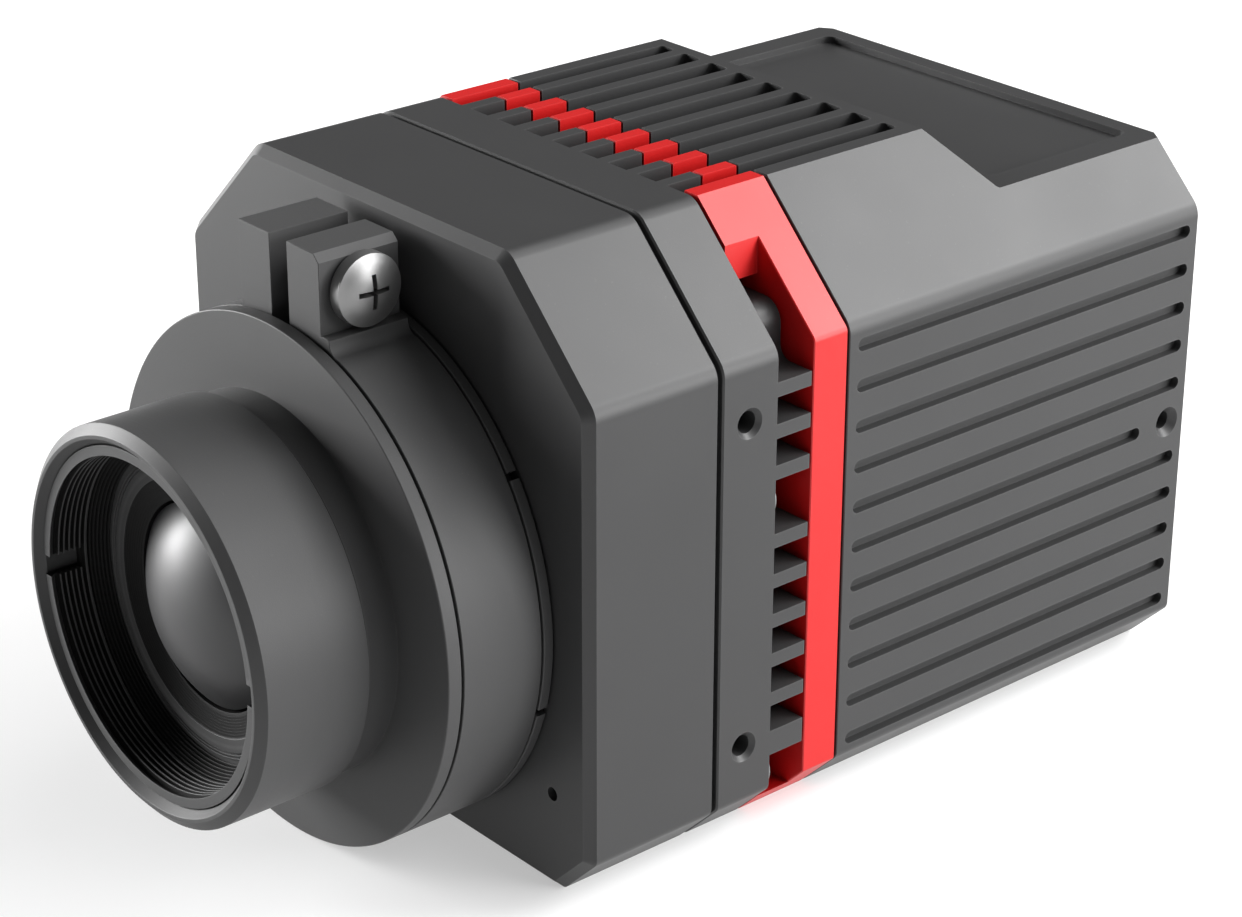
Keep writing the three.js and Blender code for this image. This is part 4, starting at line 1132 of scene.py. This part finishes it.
def build_data_socket():
    """Shielded socket with a latch notch and eight contact wires."""
    front, rear = low("data_socket", Y), high("data_socket", Y)
    x0, x1 = low("data_socket", X), high("data_socket", X)
    z0, z1 = low("data_socket", Z), high("data_socket", Z)
    x = (x0 + x1) / 2
    shell = rounded([(x0, z0, 0.4), (x1, z0, 0.4), (x1, z1, 0.4), (x0, z1, 0.4)], 4)
    body = prism(shell, front, rear, 0.15, 0.15)
    mouth = [(x0 + 1, z0 + 2.6), (x - 3, z0 + 2.6), (x - 3, z0 + 1.6), (x - 1.9, z0 + 1.6), (x - 1.9, z0 + 1),
             (x + 1.9, z0 + 1), (x + 1.9, z0 + 1.6), (x + 3, z0 + 1.6), (x + 3, z0 + 2.6), (x1 - 1, z0 + 2.6),
             (x1 - 1, z1 - 1), (x0 + 1, z1 - 1)]
    body = cut(body, prism(mouth, front + 2, rear + 1))
    wires = []
    for k in range(8):
        wire_x = x + (k - 3.5) * 1.02
        slope = [(front + 1.5, z1 - 0.8), (front + 1.5, z0 + 6.5), (front + 2, z0 + 6.5),
                 (rear - 3, z1 - 1.4), (rear - 3, z1 - 0.8)]
        wires.append(prism(slope, wire_x - 0.2, wire_x + 0.2, place=along_x))
    return join(body, *wires)


def build_round_socket(node, pins):
    """Threaded collar with a flange, an insulator sunk in it, and a ring of pins."""
    front, rear, flange = low(node, Y), high(node, Y), high(node, X) - middle(node, X)
    seat = high("rear_panel", Y) + GAP
    radius = flange - SOCKET_FLANGE
    place = (middle(node, X), middle(node, Z))
    thread = ring_grooves(radius, seat + 1.2, radius, rear - 0.3, -0.25, 0.5)
    shell = turned([(0, front), (radius, front), (radius, seat), (flange - 0.2, seat), (flange, seat + 0.2),
                    (flange, seat + 0.8), (flange - 0.2, seat + 1), (radius, seat + 1), *thread,
                    (radius - 0.25, rear), (radius - 1, rear), (radius - 1, rear - 5), (0, rear - 5)],
                   place, Y, 96)
    key = block(place[0] - 0.6, place[0] + 0.6, rear - 5.5, rear - 1, place[1] - radius + 0.4,
                place[1] - radius + 1.6)
    pin = [(0, rear - 6), (0.5, rear - 6), (0.5, rear - 3.4), (0.35, rear - 3.08), (0, rear - 3)]
    contacts = []
    for k in range(pins):
        turn = 2 * math.pi * k / pins
        spot = (place[0] + radius * 0.45 * math.cos(turn), place[1] + radius * 0.45 * math.sin(turn))
        contacts.append(turned(pin, spot, Y, 24))
    body = join(shell, key, *contacts)
    return body, place, radius, rear


def line_socket(obj, place, radius, rear):
    """Gives a round socket's insulator and pins their own finishes."""
    for name in ("Moulded Plastic", "Turned Brass"):
        obj.data.materials.append(finish(name))
    for face in obj.data.polygons:
        spots = [obj.data.vertices[i].co for i in face.vertices]
        station = (sum(spot.y for spot in spots) / len(spots) - FRONT_FACE) / MM
        reach = max(math.hypot(spot.x / MM - place[0], spot.z / MM - place[1]) for spot in spots)
        if reach < radius - 0.9 and station > rear - 5.1:
            face.material_index = 2 if reach < radius * 0.45 + 0.55 and station > rear - 4.9 else 1


def build_status_light():
    """Light pipe with a slightly domed end."""
    front, rear = low("status_light", Y), high("status_light", Y)
    radius = high("status_light", X) - middle("status_light", X)
    dome = [(radius * math.cos(math.radians(9 * k)), rear - 0.45 + 0.45 * math.sin(math.radians(9 * k)))
            for k in range(10)]
    return turned([(0, front), (radius, front), *dome, (0, rear)],
                  (middle("status_light", X), middle("status_light", Z)), Y, 48)


def build_tripod_insert():
    """Bush in the base, with rings in its bore."""
    base, top = low("tripod_insert", Z), high("tripod_insert", Z)
    thread = ring_grooves(3.15, base + 0.5, 3.15, top - 0.2, 0.4, 0.9)
    profile = [(3.5, base), (4.3, base), (4.5, base + 0.2), (4.5, top), (3.2, top), *reversed(thread)]
    return turned(profile, (0, middle("tripod_insert", Y)), Z, 96)


# ---- Operators ---------------------------------------------------------------------------
class CAMERAHEAD_OT_front_housing(bpy.types.Operator):
    """Front housing with its bevelled edge and pin holes"""

    bl_idname = "camera_head.front_housing"
    bl_label = "Front Housing"

    def execute(self, context):
        finish_piece(build_front_housing(), "front_housing_shell", "Body Anodised", "front_housing")
        dress_node("housing_seal", "Seal Rubber")
        return {"FINISHED"}


class CAMERAHEAD_OT_heat_sink(bpy.types.Operator):
    """Heat sink with side fins, top fins and corner bosses"""

    bl_idname = "camera_head.heat_sink"
    bl_label = "Heat Sink"

    def execute(self, context):
        finish_piece(build_heat_sink(), "heat_sink_block", "Body Anodised", "heat_sink")
        return {"FINISHED"}


class CAMERAHEAD_OT_red_frame(bpy.types.Operator):
    """Red frame with its top slots and corner bridges"""

    bl_idname = "camera_head.red_frame"
    bl_label = "Red Frame"

    def execute(self, context):
        finish_piece(build_red_frame(), "red_frame_plate", "Red Anodised", "red_frame")
        return {"FINISHED"}


class CAMERAHEAD_OT_rear_casing(bpy.types.Operator):
    """Rear casing with its vents, side grooves and label recess"""

    bl_idname = "camera_head.rear_casing"
    bl_label = "Rear Casing"

    def execute(self, context):
        finish_piece(build_rear_casing(), "rear_casing_shell", "Body Anodised", "rear_casing")
        finish_piece(build_tripod_insert(), "tripod_insert_threaded", "Turned Brass", "tripod_insert")
        return {"FINISHED"}


class CAMERAHEAD_OT_lens_rings(bpy.types.Operator):
    """Turned lens rings, from the lock ring to the focusing barrel"""

    bl_idname = "camera_head.lens_rings"
    bl_label = "Lens Rings"

    def execute(self, context):
        finish_piece(build_lock_ring(), "lock_ring_turned", "Lens Anodised", "lens_lock_ring")
        finish_piece(build_flange(), "flange_turned", "Lens Anodised", "lens_flange")
        barrel = finish_piece(build_barrel(), "barrel_turned", "Lens Anodised", "focus_barrel", angle=25)
        # Painted shade on the groove gaps of the barrel and retaining ring, and on the cell's stepped mouth.
        paint_bore_shade(barrel, 18.2, LENS_FRONT + 4, 16)
        ring = finish_piece(build_retaining_ring(), "retaining_ring_turned", "Lens Anodised",
                            "front_retaining_ring", angle=25)
        paint_bore_shade(ring, RING_RADIUS - 0.2, LENS_FRONT + 1.3, RING_BORE + 0.06)
        cell = finish_piece(build_lens_cell(), "lens_cell_turned", "Lens Anodised", "lens_cell", angle=25)
        paint_bore_shade(cell, 13.58, low("lens_cell", Y) + 0.02)
        return {"FINISHED"}


class CAMERAHEAD_OT_clamp(bpy.types.Operator):
    """Split clamp ring and its clamp screw"""

    bl_idname = "camera_head.clamp"
    bl_label = "Clamp Ring and Screw"

    def execute(self, context):
        finish_piece(build_clamp_ring(), "clamp_ring_split", "Lens Anodised", "clamp_ring")
        screw = pan_screw("clamp_screw", X, 1.95, 2.4, 0.6)
        finish_piece(screw, "clamp_screw_m4", "Stainless Steel", "clamp_screw")
        return {"FINISHED"}


class CAMERAHEAD_OT_elements(bpy.types.Operator):
    """Domed front element and rear element"""

    bl_idname = "camera_head.elements"
    bl_label = "Lens Elements"

    def execute(self, context):
        finish_piece(build_element("front_element", 16.6, -21.6), "front_element_dome", "Coated Element",
                     "front_element")
        finish_piece(build_element("rear_element", 34, -7.6), "rear_element_dome", "Coated Element",
                     "rear_element")
        return {"FINISHED"}


class CAMERAHEAD_OT_screws(bpy.types.Operator):
    """Housing, panel, fan and board screws"""

    bl_idname = "camera_head.screws"
    bl_label = "Screws"

    def execute(self, context):
        for names, height, shank in ((HOUSING_SCREWS, 1.9, 1.5), (PANEL_SCREWS, 1.9, 1.5),
                                     (FAN_SCREWS, 1.9, 1.5), (BOARD_SCREWS, 1.2, 1.1)):
            for node in names:
                screw = pan_screw(node, Y, shank, height, 0.4)
                finish_piece(screw, f"{node}_pan_head", "Stainless Steel", node)
        return {"FINISHED"}


class CAMERAHEAD_OT_cooling_unit(bpy.types.Operator):
    """Finishes of the shutter, sensor chamber and thermoelectric cooler"""

    bl_idname = "camera_head.cooling_unit"
    bl_label = "Shutter, Sensor and Cooler"

    def execute(self, context):
        for node, material in {
            "shutter_plate": "Inner Anodised",
            "shutter_blade": "Moulded Plastic",
            "shutter_motor": "Nickel Plate",
            "sensor_chamber": "Inner Anodised",
            "chamber_window": "Window Glass",
            "image_sensor": "Sensor Face",
            "sensor_board": "Solder Mask",
            "cold_finger": "Bare Copper",
            "thermoelectric_cooler": "White Ceramic",
        }.items():
            dress_node(node, material)
        return {"FINISHED"}


class CAMERAHEAD_OT_fan(bpy.types.Operator):
    """Fan frame and its seven-bladed rotor"""

    bl_idname = "camera_head.fan"
    bl_label = "Fan"

    def execute(self, context):
        finish_piece(build_fan_frame(), "fan_frame_moulding", "Moulded Plastic", "fan_frame")
        finish_piece(build_fan_rotor(), "fan_rotor_moulding", "Moulded Plastic", "fan_rotor")
        return {"FINISHED"}


class CAMERAHEAD_OT_electronics(bpy.types.Operator):
    """Rear panel, sockets, status light, boards and spacers"""

    bl_idname = "camera_head.electronics"
    bl_label = "Electronics and Rear Panel"

    def execute(self, context):
        for node in ("processor_board", "interface_board"):
            dress_node(node, "Solder Mask")
        for tier in ("front", "rear"):
            for i in range(1, 5):
                dress_node(f"{tier}_spacer_{i}", "Turned Brass")
        finish_piece(build_rear_panel(), "rear_panel_plate", "Body Anodised", "rear_panel")
        finish_piece(build_data_socket(), "data_socket_shell", "Nickel Plate", "data_socket")
        for node, pins in (("power_socket", 6), ("sync_socket", 4)):
            socket, *where = build_round_socket(node, pins)
            line_socket(finish_piece(socket, f"{node}_collar", "Nickel Plate", node), *where)
        finish_piece(build_status_light(), "status_light_lens", "Light Pipe", "status_light")
        return {"FINISHED"}


# Camera: azimuth, elevation and roll in degrees, distance and focal length in millimetres, shifts
# as shares of the frame's width, and the point aimed at in millimetres.
CAMERA = {"azimuth": 49.022, "elevation": 23.845, "roll": 0.252, "distance": 348.85, "lens": 92.42,
          "shift": (-0.0151, -0.0397)}
AIM = (0.0, 35.27, 33.54)
# Soft lights: name, azimuth and elevation in degrees, size in metres, power in watts.
LIGHT_DISTANCE = 0.9
LIGHTS = [
    ("key", -60, 8, 0.4, 21.0),
    ("side_panel", 120, 8, 0.4, 7.0),
    ("chamfer_panel", 150, 35, 0.4, 9.0),
    ("barrel_panel", 118, 34, 0.7, 5.0),
    ("low_rear", 150, 8, 0.4, 1.5),
    ("top_rear", 180, 62, 0.4, 2.5),
    ("left_kicker", 270, 8, 0.4, 1.5),
]
FLOOR_GLOW = 0.45
FLOOR_DROP = 0.00005
FLOOR_REACH = 6.0
SKY_STRENGTH = 0.15


def direction(azimuth, elevation):
    """Unit vector from the object, azimuth 0 in front and turning toward +X."""
    a, e = math.radians(azimuth), math.radians(elevation)
    return Vector((math.sin(a) * math.cos(e), -math.cos(a) * math.cos(e), math.sin(e)))


class CAMERAHEAD_OT_stage(bpy.types.Operator):
    """Camera, pale floor and soft studio lights"""

    bl_idname = "camera_head.stage"
    bl_label = "Stage"

    def execute(self, context):
        scene = context.scene
        aim = Vector((AIM[X] * MM, AIM[Y] * MM + FRONT_FACE, AIM[Z] * MM))
        back = direction(CAMERA["azimuth"], CAMERA["elevation"])
        camera_data = bpy.data.cameras.new("view_camera")
        camera = bpy.data.objects.new("view_camera", camera_data)
        scene.collection.objects.link(camera)
        right = Vector((0, 0, 1)).cross(back).normalized()
        up = back.cross(right)
        roll = math.radians(CAMERA["roll"])
        tilted_right = right * math.cos(roll) + up * math.sin(roll)
        tilted_up = up * math.cos(roll) - right * math.sin(roll)
        turn = Matrix((tilted_right, tilted_up, back)).transposed()
        camera.matrix_world = Matrix.Translation(aim + back * CAMERA["distance"] * MM) @ turn.to_4x4()
        camera_data.sensor_width = 36
        camera_data.lens = CAMERA["lens"]
        camera_data.shift_x, camera_data.shift_y = CAMERA["shift"]
        camera_data.clip_start, camera_data.clip_end = 0.01, 20
        scene.camera = camera
        scene.view_settings.view_transform = "Standard"
        for name, azimuth, elevation, size, power in LIGHTS:
            light_data = bpy.data.lights.new(name, "AREA")
            light_data.energy = power
            light_data.size = size
            light = bpy.data.objects.new(name, light_data)
            scene.collection.objects.link(light)
            away = direction(azimuth, elevation)
            light.location = aim + away * LIGHT_DISTANCE
            light.rotation_mode = "QUATERNION"
            light.rotation_quaternion = away.to_track_quat("Z", "Y")
        self.make_floor(scene)
        self.make_world(scene)
        return {"FINISHED"}

    def make_floor(self, scene):
        material, tree, shader = new_material("Pale Floor")
        cloud = noise_node(tree, 3.0, 2.0)
        colour = colours().floor
        tone = mixed(tree, cloud, scaled(colour, 0.99), scaled(colour, 1.01))
        tree.links.new(tone, shader.inputs["Base Color"])
        shader.inputs["Roughness"].default_value = 0.9
        shader.inputs["Emission Color"].default_value = (1, 1, 1, 1)
        shader.inputs["Emission Strength"].default_value = FLOOR_GLOW
        mesh = bpy.data.meshes.new("floor")
        reach = FLOOR_REACH
        corners = [(-reach, -reach), (reach, -reach), (reach, reach), (-reach, reach)]
        mesh.from_pydata([(x, y, -FLOOR_DROP) for x, y in corners], [], [(0, 1, 2, 3)])
        mesh.materials.append(material)
        floor = bpy.data.objects.new("floor", mesh)
        scene.collection.objects.link(floor)

    def make_world(self, scene):
        world = bpy.data.worlds.new("studio")
        world.use_nodes = True
        sky = world.node_tree.nodes["Background"]
        sky.inputs["Color"].default_value = (1, 1, 1, 1)
        sky.inputs["Strength"].default_value = SKY_STRENGTH
        scene.world = world


PIECE_OPERATORS = [
    CAMERAHEAD_OT_stage,
    CAMERAHEAD_OT_front_housing,
    CAMERAHEAD_OT_heat_sink,
    CAMERAHEAD_OT_red_frame,
    CAMERAHEAD_OT_rear_casing,
    CAMERAHEAD_OT_lens_rings,
    CAMERAHEAD_OT_clamp,
    CAMERAHEAD_OT_elements,
    CAMERAHEAD_OT_screws,
    CAMERAHEAD_OT_cooling_unit,
    CAMERAHEAD_OT_fan,
    CAMERAHEAD_OT_electronics,
]


class CAMERAHEAD_PT_panel(bpy.types.Panel):
    """Settings and build steps of the camera head"""

    bl_idname = "CAMERAHEAD_PT_panel"
    bl_label = "Camera Head"
    bl_space_type = "VIEW_3D"
    bl_region_type = "UI"
    bl_category = "Camera Head"

    def draw(self, context):
        for settings in (context.scene.camera_head_sizes, context.scene.camera_head_colours):
            column = self.layout.column()
            for name in settings.__annotations__:
                column.prop(settings, name)
        for operator in PIECE_OPERATORS:
            self.layout.operator(operator.bl_idname)


CLASSES = [CameraHeadSizes, CameraHeadColours, *PIECE_OPERATORS, CAMERAHEAD_PT_panel]


def register():
    for item in CLASSES:
        bpy.utils.register_class(item)
    bpy.types.Scene.camera_head_sizes = PointerProperty(type=CameraHeadSizes)
    bpy.types.Scene.camera_head_colours = PointerProperty(type=CameraHeadColours)


def unregister():
    del bpy.types.Scene.camera_head_colours
    del bpy.types.Scene.camera_head_sizes
    for item in reversed(CLASSES):
        bpy.utils.unregister_class(item)


def main():
    register()
    for operator in PIECE_OPERATORS:
        group, name = operator.bl_idname.split(".")
        getattr(getattr(bpy.ops, group), name)()


if __name__ == "__main__":
    main()
